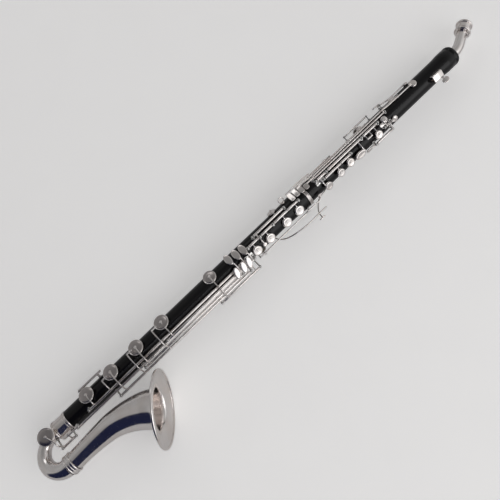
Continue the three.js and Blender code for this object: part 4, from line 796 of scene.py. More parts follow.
def silver_plate(coat):
    """Bright plated silver with soft polishing marks, and warm painted shade in its corners that also stands
    for a little tarnish there.
    """
    silver = looks().silver
    warm = Vector(silver) * 0.6 + Vector(looks().tarnish) * 0.4
    tinted = coat.ramp(coat.grain(38, 3), [(0.38, tone(silver)), (0.72, tone(warm))])
    # Warm painted shade in the corners, from ambient occlusion, standing partly for tarnish there
    colour = coat.painted_crevice_shade(tinted, 2.4 * MM, (0.42, 0.38, 0.35))
    rough = coat.between(coat.grain(210, 6), looks().polish * 0.7, looks().polish * 1.5)
    waves = coat.bump(coat.grain(60, 2), 0.05 * MM)
    marks = coat.bump(coat.grain(900, 5, (0.25, 1, 1)), 0.004 * MM, 0.6, waves)
    return coat.wear(colour, rough, marks, Metallic=1.0)


def satin_plate(coat):
    """Silver with a finely brushed satin face, its colour darker than the bright plate's as painted shade."""
    satin = looks().satin
    mottled = coat.ramp(coat.grain(90, 5), [(0.3, tone(satin, 0.88)), (0.7, tone(satin, 1.08))])
    # Painted shade where the satin is shut in by its neighbours, from ambient occlusion
    colour = coat.painted_crevice_shade(mottled, 2 * MM, (0.5, 0.47, 0.45))
    rough = coat.between(coat.grain(420, 6), 0.17, 0.27)
    brushed = coat.bump(coat.grain(2600, 3, (1, 0.12, 1)), 0.008 * MM, 0.7)
    return coat.wear(colour, rough, brushed, Metallic=1.0)


def steel_rods(coat):
    """Turned steel and nickel of the rods, posts and screws, drawn along their length."""
    steel = looks().steel
    drawn = coat.grain(1500, 4, (0.06, 1, 1))
    streaked = coat.ramp(drawn, [(0.3, tone(steel, 0.84)), (0.7, tone(steel, 1.06))])
    # Painted shade where the rods and posts are shut in by their neighbours, from ambient occlusion
    colour = coat.painted_crevice_shade(streaked, 1.6 * MM, (0.34, 0.32, 0.31))
    rough = coat.between(coat.grain(260, 5), 0.14, 0.26)
    return coat.wear(colour, rough, coat.bump(drawn, 0.005 * MM, 0.6), Metallic=1.0)


def blackwood(coat):
    """Oiled and polished blackwood with long dark brown grain and fine open pores."""
    black = looks().wood
    brown = looks().wood_grain
    long_grain = coat.grain(420, 7, (0.035, 1, 1), 0.62)
    colour = coat.ramp(long_grain, [(0.35, tone(black)), (0.6, tone(black, 1.4)), (0.78, tone(brown))])
    pores = coat.grain(2400, 3, (0.05, 1, 1), 0.7)
    rough = coat.between(coat.grain(130, 5, (0.2, 1, 1)), 0.1, 0.19)
    fine = coat.bump(pores, 0.02 * MM, 0.5)
    normal = coat.bump(long_grain, 0.025 * MM, 0.4, fine)
    return coat.wear(colour, rough, normal, Specular_IOR_Level=0.3)


def pad_leather(coat):
    """Pale kid leather of the pads, creamy with tan cloudiness and a fine pebbled grain."""
    leather = looks().leather
    cloudy = coat.grain(320, 5)
    colour = coat.ramp(cloudy, [(0.3, tone(leather, 0.7)), (0.65, tone(leather))])
    rough = coat.between(coat.grain(800, 3), 0.62, 0.8)
    normal = coat.bump(coat.grain(3600, 4), 0.05 * MM, 0.8)
    return coat.wear(colour, rough, normal, Sheen_Weight=0.15)


def floor_paper():
    """Plain pale studio paper."""
    coat = Coat("pale floor")
    pale = looks().floor
    colour = coat.ramp(coat.grain(14, 3), [(0.3, tone(pale, 0.98)), (0.7, tone(pale))])
    rough = coat.between(coat.grain(60, 3), 0.82, 0.92)
    normal = coat.bump(coat.grain(1400, 3), 0.03 * MM, 0.3)
    seen = add_node(coat.tree, "ShaderNodeLightPath").outputs["Is Camera Ray"]
    glow = add_node(coat.tree, "ShaderNodeMath", {0: seen, 1: FLOOR_GLOW}, operation="MULTIPLY")
    coat.tree.links.new(glow.outputs["Value"], coat.shader.inputs["Emission Strength"])
    return coat.wear(colour, rough, normal, Specular_IOR_Level=0.2, Emission_Color=(1, 0.985, 0.97, 1))


FINISHES = {
    "silver_plate": ("bright silver plate", silver_plate),
    "satin_plate": ("satin silver plate", satin_plate),
    "steel_rods": ("turned steel", steel_rods),
    "blackwood": ("polished blackwood", blackwood),
    "pad_leather": ("pad leather", pad_leather),
}


def finish_of(slot):
    """Material of a slot, made for the first piece that wears it."""
    name, dress = FINISHES[slot]
    return bpy.data.materials.get(name) or dress(Coat(name))


# Wood, rings, bow, bell, neck and fittings

def axis_place(offset=Vector((0, 0, 0))):
    """Frame whose Z axis runs up the body, for profiles of (radius, station)."""
    return frame_at(offset, ALONG, Vector((0, 0, 1)))


def turned_piece(node, profile, place, body="horn", steps=BODY_STEPS):
    """Piece that is one closed profile, turned about the place's Z axis."""
    shape = Shape()
    shape.turned(profile, place, steps, closed=True)
    shape.close_up(node, body)


def seat(shape, at, key, radius, surface, height):
    """Turned seat of a key's tone hole, with a bevelled lip and an open bore."""
    bottom = -radius / 3
    profile = [(radius * SEAT_BORE, bottom), (radius, bottom), *scaled(SEAT_PROFILE, radius, height)]
    place = polar(at(key["pad"]), key["azimuth"], surface)
    shape.turned(profile, frame_at(place, outward(key["azimuth"])), closed=True)


def wooden_joint(node, profile, at, surface, holes):
    """Turned joint with its seats, from (key, seat radius, seat height) for each hole."""
    shape = Shape()
    shape.turned(profile, axis_place(), BODY_STEPS, closed=True)
    for key, radius, height in holes:
        seat(shape, at, key, radius, surface, height)
    shape.close_up(node, slot="blackwood")


def lower_wood():
    half = COLLAR_LENGTH / 2
    socket = TENON_RADIUS + FIT_GAP
    start = -half + COLLAR_BEAD_WIDTH + FIT_GAP
    end = LOWER_LENGTH
    swell = Curve([Vector((radius, end - SOCKET_FLARE * share, 0)) for radius, share in SOCKET_SWELL], 6)
    profile = [
        (BORE_RADIUS, start), (TENON_RADIUS, start), (TENON_RADIUS, half + FIT_GAP),
        (BODY_RADIUS - 0.3, half + FIT_GAP), (BODY_RADIUS, half + FIT_GAP * 2),
        *((min(point.x, SOCKET_RADIUS), point.y) for point in swell.points),
        (SOCKET_RADIUS, end - FIT_GAP), (SOCKET_RADIUS - FIT_GAP, end), (socket, end),
        (socket, end - TENON_LENGTH - FIT_GAP), (BORE_RADIUS, end - TENON_LENGTH - FIT_GAP),
    ]
    holes = [(key, LOW_CUP_RADIUS * LOW_SEAT, SEAT_HEIGHT) for key in LOW_KEYS.values()]
    holes += [
        (RIGHT_STACK | plate, PLATE_RADIUS * PLATE_SEAT, PLATE_SEAT_HEIGHT) for plate in RIGHT_PLATES.values()
    ]
    holes.append((SIDE_KEY, PLATE_RADIUS * SIDE_SEAT, SEAT_HEIGHT))
    holes += [(key, PLATE_RADIUS * PLATE_SEAT, SEAT_HEIGHT) for key in (FRONT_LEVER, LONG_LEVER)]
    wooden_joint("lower_joint", profile, lower_at, BODY_RADIUS, holes)


def upper_wood():
    socket = NECK_RADIUS + FIT_GAP
    foot = JOINT_STATION - TENON_LENGTH
    top = TOP_STATION
    profile = [
        (BORE_RADIUS, foot), (TENON_RADIUS, foot), (TENON_RADIUS, UPPER_START),
        (UPPER_RADIUS - FIT_GAP, UPPER_START), (UPPER_RADIUS, UPPER_START + FIT_GAP),
        *((radius, top - TOP_BULGE * share) for radius, share in TOP_TURNING),
        (socket, top), (socket, top - NECK_TENON - FIT_GAP), (BORE_RADIUS, top - NECK_TENON - FIT_GAP),
    ]
    holes = [
        (key, LEFT_PLATE_RADIUS * key.get("size", 1) * PLATE_SEAT, LEFT_SEAT_HEIGHT)
        for key in LEFT_PLATES.values()
    ]
    holes += [
        (key, key["radius"] * BODY_RADIUS * SMALL_SEAT, SEAT_HEIGHT)
        for key in (*TRILL_KEYS.values(), *THROAT_KEYS.values(), REGISTER_KEY)
    ]
    holes.append((THUMB_KEY, LEFT_PLATE_RADIUS * PLATE_SEAT, PLATE_SEAT_HEIGHT))
    holes.append((CROSS_LEVER, LEFT_PLATE_RADIUS * CROSS_SEAT, SEAT_HEIGHT))
    wooden_joint("upper_joint", profile, upper_at, UPPER_RADIUS, holes)


def bead(station, low, high, width):
    """Half-round bead of a ring's profile, as (radius, station) pairs from its near side to its far side."""
    angles = [math.pi * step / BEAD_STEPS for step in range(BEAD_STEPS + 1)]
    return [
        (low + (high - low) * math.sin(angle), station + width * (1 - math.cos(angle)) / 2)
        for angle in angles
    ]


def beaded_ring(start, end, inner, waist, outer, rise, width):
    """Profile of a ring with a bead at each end and a lower one in its middle."""
    return [
        (inner, start), *bead(start, waist, outer, width),
        *bead((start + end) / 2 - width / 3, waist, rise, width * 2 / 3),
        *bead(end - width, waist, outer, width), (inner, end),
    ]


def joint_ring():
    start = JOINT_STATION + FIT_GAP
    end = JOINT_STATION + RING_LENGTH
    inner = TENON_RADIUS + FIT_GAP
    waist = SOCKET_RADIUS - FIT_GAP
    profile = beaded_ring(start, end, inner, waist, RING_RADIUS, SOCKET_RADIUS + FIT_GAP, RING_LENGTH / 3.4)
    turned_piece("joint_ring", profile, axis_place())


def bell_collar():
    half = COLLAR_LENGTH / 2
    inner = TENON_RADIUS + FIT_GAP
    width = COLLAR_BEAD_WIDTH
    body = BODY_RADIUS - FIT_GAP / 2
    low = COLLAR_BEAD_RADIUS - 0.4
    profile = [
        (BORE_RADIUS, -half), (BODY_RADIUS - 1.2, -half), (body, -half + 0.5),
        *bead(-half + 0.6, body, COLLAR_BEAD_RADIUS, width),
        *bead(-half + width * 1.7, body, low, width * 0.4),
        *bead(half - width * 2.2, body, low, width * 0.4),
        *bead(half - width, body, COLLAR_BEAD_RADIUS, width),
        (inner, half), (inner, -half + width), (BORE_RADIUS, -half + width),
    ]
    turned_piece("bell_collar", profile, axis_place())


def bell_point(station, reach):
    """Place in the plane of the bow and bell."""
    return polar(station, FRONT_TILT, reach)


def plane_normal():
    return outward(FRONT_TILT + 90)


def tube_shell(shape, curve, radius_at, steps):
    """Thin-walled tube of changing radius along a curve in the bell's plane."""
    side = plane_normal()
    outer = []
    inner = []
    for step in range(steps + 1):
        share = step / steps
        ahead = curve.heading(share)
        centre = curve.at(share)
        radius = radius_at(share)
        outer.append(section(centre, ahead, side, radius))
        inner.append(section(centre, ahead, side, radius - SHEET_WALL))
    shape.loft(outer + inner[::-1], 48, closed=True)


def bow_curve():
    start = -COLLAR_LENGTH / 2 - FIT_GAP
    points = [bell_point(start, 0)]
    for step in range(BOW_STEPS + 1):
        angle = math.pi * step / BOW_STEPS
        station = start - BOW_STRAIGHT - BOW_RADIUS * math.sin(angle)
        points.append(bell_point(station, BOW_RADIUS * (1 - math.cos(angle))))
    return Curve(points)


def bell_bow():
    shape = Shape()
    grown = BOW_END_RADIUS - BOW_START_RADIUS
    start = BOW_START_RADIUS - SMOOTH_GAP
    tube_shell(shape, bow_curve(), lambda share: start + grown * share ** BOW_TAPER, 56)
    share, reach = BOW_KEY["pad"]
    up = outward(BOW_KEY["azimuth"])
    foot = BOW_START_RADIUS - SHEET_WALL / 2
    rise = reach * BODY_RADIUS - FIT_GAP - PAD_THICKNESS - PAD_RISE - PAD_GAP - foot
    radius = BOW_START_RADIUS * 0.8
    bore = radius * 0.72
    profile = [
        (bore, 0), (radius, 0), (radius, rise - 1), (radius, rise - 0.4), (radius * 0.92, rise),
        (radius * 0.8, rise), (bore, rise - 0.5),
    ]
    place = frame_at(polar(lower_at(share), BOW_KEY["azimuth"], foot), up)
    shape.turned(profile, place, 40, closed=True)
    shape.close_up("bell_bow")


def bow_ring():
    start = BOW_RING_END - BOW_RING_LENGTH
    inner = BOW_END_RADIUS + FIT_GAP
    waist = (BOW_RING_RADIUS + inner) / 2
    width = BOW_RING_LENGTH / 4
    profile = beaded_ring(start, BOW_RING_END, inner, waist, BOW_RING_RADIUS, waist + 0.5, width)
    turned_piece("bow_ring", profile, axis_place(outward(FRONT_TILT) * BOW_RADIUS * 2), steps=RING_STEPS)


def smooth_step(value, low, high):
    share = min(max((value - low) / (high - low), 0), 1)
    return share * share * (3 - 2 * share)


def bell():
    line = Curve([
        bell_point(BOW_RING_END + FIT_GAP, BOW_RADIUS * 2),
        *(bell_point(forward * BELL_REACH, out * BELL_OFFSET) for forward, out in BELL_LINE),
    ])
    tilt = math.radians(BELL_TILT)
    axis = ALONG * math.cos(tilt) + outward(FRONT_TILT - BELL_TURN) * math.sin(tilt)
    length = line.lengths[-1]
    rim_radius = BELL_RIM_RADIUS - BELL_RIM_ROLL

    def ring(share, radius, forward=0.0):
        ahead = line.heading(share).lerp(axis, smooth_step(share, *BELL_LEAN)).normalized()
        side = ahead.cross(plane_normal()).normalized()
        return section(line.at(share) + axis * forward, ahead, side, radius)

    grown = BELL_THROAT_RADIUS - BELL_START_RADIUS
    flared = rim_radius - BELL_THROAT_RADIUS
    last = len(BELL_RADII) - 1
    radii = [
        (index / last * BELL_BODY, BELL_START_RADIUS + share * grown)
        for index, share in enumerate(BELL_RADII)
    ]
    radii += [(share, BELL_THROAT_RADIUS + rise * flared) for share, rise in BELL_FLARE]
    profile = Curve([Vector((share * length, radius, 0)) for share, radius in radii], 5).points[:-1]
    pairs = [(min(point.x / length, 1), min(point.y, rim_radius)) for point in profile]
    outer = [ring(share, radius) for share, radius in pairs]
    roll = [ring(1, rim_radius + out * BELL_RIM_ROLL, ahead * BELL_RIM_ROLL) for out, ahead in BELL_ROLL]
    inner = [
        ring(share, radius - SHEET_WALL, SHEET_WALL * smooth_step(share, BELL_BODY - 0.04, BELL_BODY + 0.02))
        for share, radius in reversed(pairs)
    ]
    shape = Shape()
    shape.loft(outer + roll + inner, 96, closed=True)
    shape.close_up("bell")


def neck_direction():
    bend = math.radians(NECK_BEND_DEGREES)
    return ALONG * math.cos(bend) + outward(FRONT_TILT + 180) * math.sin(bend)


def neck_curve():
    bend_start = TOP_STATION + NECK_RADIUS / 2
    points = [bell_point(station, 0) for station in (TOP_STATION - NECK_TENON, TOP_STATION, bend_start)]
    for step in range(1, NECK_STEPS + 1):
        angle = math.radians(NECK_BEND_DEGREES * step / NECK_STEPS)
        ahead = bend_start + NECK_BEND * math.sin(angle)
        points.append(bell_point(ahead, -NECK_BEND * (1 - math.cos(angle))))
    points.append(points[-1] + neck_direction() * NECK_STRAIGHT)
    return Curve(points)


def receiver_foot():
    return neck_curve().at(1) - neck_direction() * RECEIVER_BEAD_WIDTH


def neck_tube():
    shape = Shape()
    tube_shell(shape, neck_curve(), lambda share: NECK_RADIUS, 40)
    direction = neck_direction()
    side = direction.cross(outward(FRONT_TILT + LUG_TURN)).normalized()
    up = side.cross(direction).normalized()
    foot = receiver_foot() - direction * LUG_RADIUS * 1.8 + up * (NECK_RADIUS - SHEET_WALL / 2)
    eye = foot + up * (LUG_RADIUS + FOOT_HEIGHT / 2)
    half = LUG_THICKNESS / 2
    profile = [
        (LUG_HOLE, -half + 0.3), (LUG_HOLE + 0.4, -half), (LUG_RADIUS - 0.5, -half),
        (LUG_RADIUS, -half + 0.5), (LUG_RADIUS, half - 0.5), (LUG_RADIUS - 0.5, half),
        (LUG_HOLE + 0.4, half), (LUG_HOLE, half - 0.3),
    ]
    shape.turned(profile, frame_at(eye, side, direction), 28, closed=True)
    shape.disc(foot, up, LUG_RADIUS * 0.8, FOOT_HEIGHT, along=direction, steps=24)
    shape.close_up("neck_tube", "neck")


def receiver():
    slip = NECK_RADIUS + FIT_GAP
    width = RECEIVER_BEAD_WIDTH
    upper = RECEIVER_LENGTH * 0.7
    end = RECEIVER_LENGTH
    body = RECEIVER_RADIUS
    bore = RECEIVER_BORE
    profile = [
        (slip, 0), (body, 0), *bead(0.1, body, RECEIVER_BEAD_RADIUS, width),
        *bead(width * 1.5, body, body + 0.5, width * 0.35), (body, upper - width * 0.4),
        *bead(upper, body, RECEIVER_BEAD_RADIUS, width * 1.15),
        (body, end - 0.5), (body - 0.5, end), (bore + 0.4, end), (bore, end - 0.4),
        (bore, width * 1.6), (slip, width * 1.6),
    ]
    place = frame_at(receiver_foot(), neck_direction(), plane_normal())
    turned_piece("mouthpiece_receiver", profile, place, "neck", RING_STEPS)


def guard_bar():
    station = lower_at(GUARD["station"])
    azimuth = GUARD["azimuth"]
    up = outward(azimuth)
    reach = GUARD["reach"] * BODY_RADIUS
    shape = Shape()
    place = frame_at(polar(station, azimuth, reach - GUARD_THICKNESS / 2), up)
    shape.tablet(place, GUARD_LENGTH, GUARD_WIDTH, GUARD_THICKNESS, 0.35)
    for away in (-GUARD_FOOT_SHARE * GUARD_LENGTH, GUARD_FOOT_SHARE * GUARD_LENGTH):
        foot = polar(station + away, azimuth, BODY_RADIUS + FIT_GAP)
        top = polar(station + away, azimuth, reach)
        shape.bar(foot, top, GUARD_POST_RADIUS, 18)
        shape.disc(foot, up, GUARD_POST_RADIUS * 1.7, 1, steps=20)
        shape.disc(top + up * (GUARD_THICKNESS / 2 - 0.45), up, POST_RADIUS * 0.9, 0.4, steps=20)
    shape.close_up("guard_bar", slot="satin_plate")


def strap_ring():
    station = lower_at(STRAP["station"])
    azimuth = STRAP["azimuth"]
    up = outward(azimuth)
    base = surface_at(station + STRAP_RING_RADIUS) + FIT_GAP
    foot = polar(station, azimuth, base)
    top = base + FOOT_HEIGHT
    wire = STRAP_WIRE_RADIUS
    angles = [math.tau * step / STRAP_WIRE_SIDES for step in range(STRAP_WIRE_SIDES)]
    profile = [(STRAP_RING_RADIUS + wire * math.cos(angle), wire * math.sin(angle)) for angle in angles]
    shape = Shape()
    place = frame_at(polar(station, azimuth, top + STRAP_RING_RADIUS), ALONG.cross(up))
    shape.turned(profile, place, 40, closed=True)
    shape.disc(foot, up, STRAP_RING_RADIUS * 0.8, FOOT_HEIGHT, steps=28)
    shape.bar(foot, polar(station, azimuth, top + wire), wire * 1.5)
    shape.close_up("strap_ring")


def lyre_centre():
    return polar(upper_at(LYRE["station"]), LYRE["azimuth"], UPPER_RADIUS + FIT_GAP + LYRE_HEIGHT / 2)


def lyre_outline(ring, scale):
    """Moves a ring of corners out to the outline of the block, which has softened corners."""
    corner = Vector((LYRE_HEIGHT / 2, LYRE_WIDTH / 2)).length * 0.94
    for vert in ring:
        angle = math.atan2(vert.co.y, vert.co.x)
        across = LYRE_HEIGHT / 2 / max(abs(math.cos(angle)), MM)
        beside = LYRE_WIDTH / 2 / max(abs(math.sin(angle)), MM)
        reach = min(across, beside, corner) * scale
        vert.co.x = reach * math.cos(angle)
        vert.co.y = reach * math.sin(angle)


def lyre_socket():
    """Block with a hole along it, drawn out from the hole's rim to the block's sides and back."""
    shape = Shape()
    up = outward(LYRE["azimuth"])
    with shape.placed(frame_at(lyre_centre(), ALONG, up)):
        bm = shape.bm
        start = Matrix.Translation((0, 0, -LYRE_LENGTH / 2))
        ring = bmesh.ops.create_circle(bm, segments=48, radius=LYRE_HOLE, matrix=start)["verts"]
        first = edges = round_edges(ring)
        for scale, ahead in ((0.93, 0), (1, 0.6), (1, LYRE_LENGTH - 1.2), (0.93, 0.6)):
            ring, edges = drawn_out(bm, edges)
            bmesh.ops.translate(bm, verts=ring, vec=(0, 0, ahead))
            lyre_outline(ring, scale)
        ring, edges = drawn_out(bm, edges)
        for vert in ring:
            vert.co.xy = vert.co.xy.normalized() * LYRE_HOLE
        bmesh.ops.bridge_loops(bm, edges=first + edges)
    foot = polar(upper_at(LYRE["station"]), LYRE["azimuth"], UPPER_RADIUS + FIT_GAP)
    shape.tablet(frame_at(foot, up), LYRE_LENGTH * 0.98, LYRE_WIDTH * 0.98, 1, 0.3)
    shape.close_up("lyre_socket", sharp=30)


def lyre_screw():
    lift = lyre_centre().z / BODY_RADIUS
    head, tip = spots_at(upper_at(LYRE["screw"]), [(LYRE["head"], lift), (LYRE["tip"], lift)])
    inward = (tip - head).normalized()
    shape = Shape()
    with shape.placed(Matrix.Translation(head)):
        size = Matrix.Diagonal((LYRE_HEAD_LENGTH / 2, LYRE_HEAD_WIDTH / 2, LYRE_HEAD_THICKNESS / 2, 1))
        bmesh.ops.create_uvsphere(shape.bm, u_segments=40, v_segments=20, radius=1, matrix=size)
    neck = inward * LYRE_HEAD_WIDTH
    shape.bar(head + neck * 0.4, head + neck * 0.55, LYRE_SCREW_RADIUS * 1.6, 24)
    shape.bar(head, tip, LYRE_SCREW_RADIUS, 18)
    shape.close_up("lyre_screw", "thumbscrew")


# Keys

def hinge_tube(shape, line, start, end, thin=False):
    """Tube that turns on its rod, with a bead at each end."""
    radius = THIN_TUBE_RADIUS if thin else TUBE_RADIUS
    first, last = line(start), line(end)
    ahead = (last - first).normalized()
    side = ahead.orthogonal().normalized()
    length = (last - first).length
    width = min(TUBE_BEAD_WIDTH, length / 5)
    near = [(width * far, share) for far, share in TUBE_BEAD]
    stops = near + [(length - far, share) for far, share in reversed(near)]
    shape.loft([section(first + ahead * far, ahead, side, radius * share) for far, share in stops], 24)


def key_tube(shape, line, at, key, thin=False):
    hinge_tube(shape, line, *stations_of(at, key["tube"]), thin)


def cup_with_pad(shape, name, base, up, radius, height=SMALL_CUP_HEIGHT, stretch=1, profile=CUP_PROFILE):
    """Small cup, and a pad in its hollow that just shows below its rim."""
    shape.disc(base, up, radius, height, profile, stretch=stretch)
    pad = Shape()
    pad.disc(base - up * PAD_SHOW, up, radius * 0.92, 0.4, PAD_PROFILE, stretch=stretch, steps=32)
    pad.finish(f"{name}_cup_pad", name, "pad_leather")


def big_cup(shape, name, base, up, radius):
    """Large cup: a bright rim and wall, a satin dome whose darker colour is painted shade, and a thick pad
    below.
    """
    shape.disc(base, up, radius, CUP_HEIGHT, RIM_PROFILE, steps=56)
    dome = Shape()
    dome.disc(base, up, radius, CUP_HEIGHT, DOME_PROFILE, steps=56)
    dome.finish(f"{name}_dome", name, "satin_plate", sharp=50)
    shape.disc(base + up * CUP_HEIGHT * 0.93, up, ARM_RADIUS * 1.9, CUP_HEIGHT * 0.28, steps=28)
    pad = Shape()
    pad.disc(base - up * (FIT_GAP + PAD_THICKNESS), up, radius * 0.82, PAD_THICKNESS + FIT_GAP, PAD_PROFILE)
    pad.close_up(f"{name}_pad", name, "pad_leather")


def touch_centre(station, row, shift):
    front, up = row["centre"]
    return spot(station, (front + shift, up))


def lever_arm(shape, line, key):
    """Arm from the rod to a domed oval touch for the little finger, long across the body."""
    row = TOUCH_ROWS[key.get("row", "upper")]
    station = lower_at(key["lever"])
    up = outward(row["azimuth"])
    centre = touch_centre(lower_at(key["touch"]), row, key["shift"])
    shape.arm([line(station), *spots_at(station, key["bend"]), centre + up * TOUCH_THICKNESS / 2])
    across = ALONG.cross(up)
    across.x = row["lean"]
    radius = row["width"] * BODY_RADIUS
    shape.disc(centre, up, radius, TOUCH_THICKNESS, CUP_PROFILE, across, row["length"] / row["width"], 48)


def link_arm(shape, line, link):
    """Arm over the next key's cup, with an adjusting screw above its rim."""
    share, bends, reach = link
    start = lower_at(share)
    path = spots_at(start, bends)
    end = spot(start + lower_at(reach), bends[-1])
    lift = Vector((0, 0, ARM_RADIUS))
    shape.arm([line(start), *path])
    shape.bar(path[-1], end, ARM_RADIUS)
    shape.ball(path[-1], ARM_RADIUS * 0.9)
    shape.bar(end - lift, end + lift * 2, ARM_RADIUS * 0.8)
    shape.disc(end - lift * 0.9, Vector((0, 0, 1)), ARM_RADIUS, ARM_RADIUS * 1.8, steps=20)


def low_key(name, key):
    line = hinge_line(key["line"])
    up = outward(key["azimuth"])
    reach = BODY_RADIUS + SEAT_HEIGHT + PAD_GAP + PAD_RISE + PAD_THICKNESS + FIT_GAP
    base = polar(lower_at(key["pad"]), key["azimuth"], reach)
    shape = Shape()
    key_tube(shape, line, lower_at, key)
    big_cup(shape, name, base, up, LOW_CUP_RADIUS * key.get("cup", 1))
    shape.arm([line(base.x), *spots_at(base.x, key["arm"]), base + up * CUP_HEIGHT])
    lever_arm(shape, line, key)
    if "link" in key:
        link_arm(shape, line, key["link"])
    shape.close_up(name, name)


def low_lever():
    line = hinge_line(LOW_LEVER["line"])
    shape = Shape()
    key_tube(shape, line, lower_at, LOW_LEVER)
    lever_arm(shape, line, LOW_LEVER)
    root = lower_at(LOW_LEVER["tube"][0]) + TUBE_RADIUS
    corner = spot(root, BOW_KEY["finger"])
    shape.bar(line(root), corner, ARM_RADIUS)
    shape.ball(corner, ARM_RADIUS)
    shape.bar(corner, spot(lower_at(BOW_KEY["crank"]) - ARM_RADIUS, BOW_KEY["finger"]), ARM_RADIUS)
    shape.close_up("low_lever", "low_lever")


def low_key_rods():
    shape = Shape()
    keys = [*LOW_KEYS.values(), LOW_LEVER]
    ends = []
    for key in keys:
        start, end = stations_of(lower_at, key["tube"])
        shape.rod(hinge_line(key["line"]), [start - POST_STEP, end + POST_STEP])
        ends.append(end + POST_STEP)
    first = min(ends) - FOOT_RADIUS
    last = max(ends) + FOOT_RADIUS - FIT_GAP
    shape.saddle((first + last) / 2, last - first, LOW_PLATE_AZIMUTHS, BODY_RADIUS)
    shape.close_up("low_key_rods", slot="steel_rods")


def bow_key():
    key = BOW_KEY
    line = hinge_line(key["line"])
    up = outward(key["azimuth"])
    share, reach = key["pad"]
    base = polar(lower_at(share), key["azimuth"], reach * BODY_RADIUS)
    root = lower_at(key["tube"][0]) + TUBE_RADIUS
    shape = Shape()
    key_tube(shape, line, lower_at, key)
    big_cup(shape, "bow_key", base, up, BOW_CUP_RADIUS)
    shape.arm([line(root), *spots_at((root * 2 + base.x) / 3, key["arm"]), base + up * CUP_HEIGHT])
    crank = lower_at(key["crank"])
    shape.arm([line(crank), spot(crank, key["tip"])])
    shape.close_up("bow_key", "bow_key")


def plate_base(key, at, surface, seat_top):
    return polar(at(key["pad"]), key["azimuth"], surface + seat_top + PAD_GAP + PLATE_RISE)


def bridge_loop(shape, line, stations):
    """Bar beside the rod that lifts another key's plate, with a short arm at each end."""
    corners = [line(station) - Vector((0, BRIDGE_DEPTH, ARM_RADIUS)) for station in stations]
    shape.bar(*corners, ARM_RADIUS)
    for corner in corners:
        shape.bar(line(corner.x), corner, ARM_RADIUS * 0.8)
        shape.ball(corner, ARM_RADIUS)


def plate_key(name, line, key, at, surface, seat_top, radius):
    """Finger plate over its tone hole, with an arm back to the stack's rod."""
    up = outward(key["azimuth"])
    base = plate_base(key, at, surface, seat_top)
    shape = Shape()
    key_tube(shape, line, at, key)
    cup_with_pad(shape, name, base, up, radius, PLATE_HEIGHT, key.get("stretch", 1), PLATE_PROFILE)
    top = base + up * PLATE_HEIGHT
    top.x = at(key.get("stem", key["pad"]))
    root = line(top.x)
    towards = Vector((0, root.y - top.y, root.z - top.z)).normalized()
    shoulder = top + towards * radius + up * ARM_RADIUS / 2
    shape.arm([root, shoulder, top - up * ARM_RADIUS / 2], ARM_RADIUS * 1.15)
    if "bridge" in key:
        bridge_loop(shape, line, stations_of(at, key["bridge"]))
    shape.close_up(name, name)


def closed_cup(key, at, surface, rise=0):
    """Base of a small cup above its seat, the way up from it, and where its arm ends."""
    up = outward(key["azimuth"])
    base = polar(at(key["pad"]), key["azimuth"], surface + SEAT_HEIGHT + PAD_GAP + rise)
    return base, up, base + up * SMALL_CUP_HEIGHT * ARM_DEPTH_SHARE


def side_key():
    key = SIDE_KEY
    name = "right_side_key"
    line = hinge_line(key["line"])
    base, up, top = closed_cup(key, lower_at, BODY_RADIUS)
    shape = Shape()
    key_tube(shape, line, lower_at, key)
    cup_with_pad(shape, name, base, up, SIDE_CUP_RADIUS, stretch=1.15)
    shape.arm([line(base.x), *spots_at(base.x, key["arm"]), top])
    lever = lower_at(key["lever"])
    bridge = spots_at(lever, key["bridge"])
    shape.arm([line(lever), *bridge])
    face = outward(key["face"])
    shape.disc(bridge[-1] - face * ARM_RADIUS, face, PLATE_RADIUS * 0.42, TOUCH_THICKNESS, steps=32)
    shape.close_up(name, name)


def rest_line(station):
    """Hinge line of the levers on the left side, whose posts stand on the table."""
    return Vector((station, -REST_LINE_FRONT * BODY_RADIUS, TABLE_LEVEL + BALL_RADIUS))


def touch_arm(shape, line, at, key):
    """Arm from the rod to a finger tablet that stands clear of the body."""
    tip, *bends = spots_along(at, [key["touch"], *key["bend"]])
    shape.arm([line(at(key["lever"])), *bends, tip])
    face = outward(key["face"])
    plate = frame_at(tip - face * TOUCH_THICKNESS / 2, face)
    shape.tablet(plate, key["half"] * BODY_RADIUS * 2, TABLET_WIDTH)


def lever_key(name, line, key, at, surface, radius, rise=0, thin=False):
    """Lever whose touch stands out at the front edge and whose cup is on the left side."""
    base, up, top = closed_cup(key, at, surface, rise)
    shape = Shape()
    key_tube(shape, line, at, key, thin)
    cup_with_pad(shape, name, base, up, radius)
    shape.arm([line(base.x), *spots_at(base.x, key["arm"]), top])
    touch_arm(shape, line, at, key)
    shape.close_up(name, name)


def trill_line(key):
    return hinge_line(key["line"], key["end"], upper_at(TRILL["from"]), upper_at(TRILL["to"]))


def trill_key(name, key):
    """Key on one of the parallel rods, its lever running down the body to a tablet."""
    line = trill_line(key)
    start = upper_at(TRILL["from"])
    end = upper_at(key["tube"])
    crest = TRILL["crest"] * BODY_RADIUS
    reach = TRILL["reach"] * BODY_RADIUS
    base, up, top = closed_cup(key, upper_at, UPPER_RADIUS)
    shape = Shape()
    hinge_tube(shape, line, start, end, True)
    cup_with_pad(shape, name, base, up, key["radius"] * BODY_RADIUS)
    bends = spots_along(upper_at, key.get("arm", []))
    shape.arm([line(end - ARM_RADIUS if bends else top.x), *bends, top])
    root = line(start + ARM_RADIUS)
    touch = upper_at(key["touch"])
    lever = key["lever"]
    shape.arm([
        root,
        polar(root.x - ARM_RADIUS / 4, lever, crest - ARM_RADIUS / 2),
        polar(root.x - ARM_RADIUS * 3, lever, crest),
        polar(touch + ARM_RADIUS * 2, lever, crest),
        polar(touch, (lever + key["face"] * 2) / 3, reach),
    ])
    face = outward(key["face"])
    place = frame_at(polar(touch, key["face"], reach - TOUCH_THICKNESS / 2), face, ALONG.cross(face))
    shape.tablet(place, key["half"] * BODY_RADIUS * 2, BODY_RADIUS * TRILL["width"] * 2)
    shape.close_up(name, name)


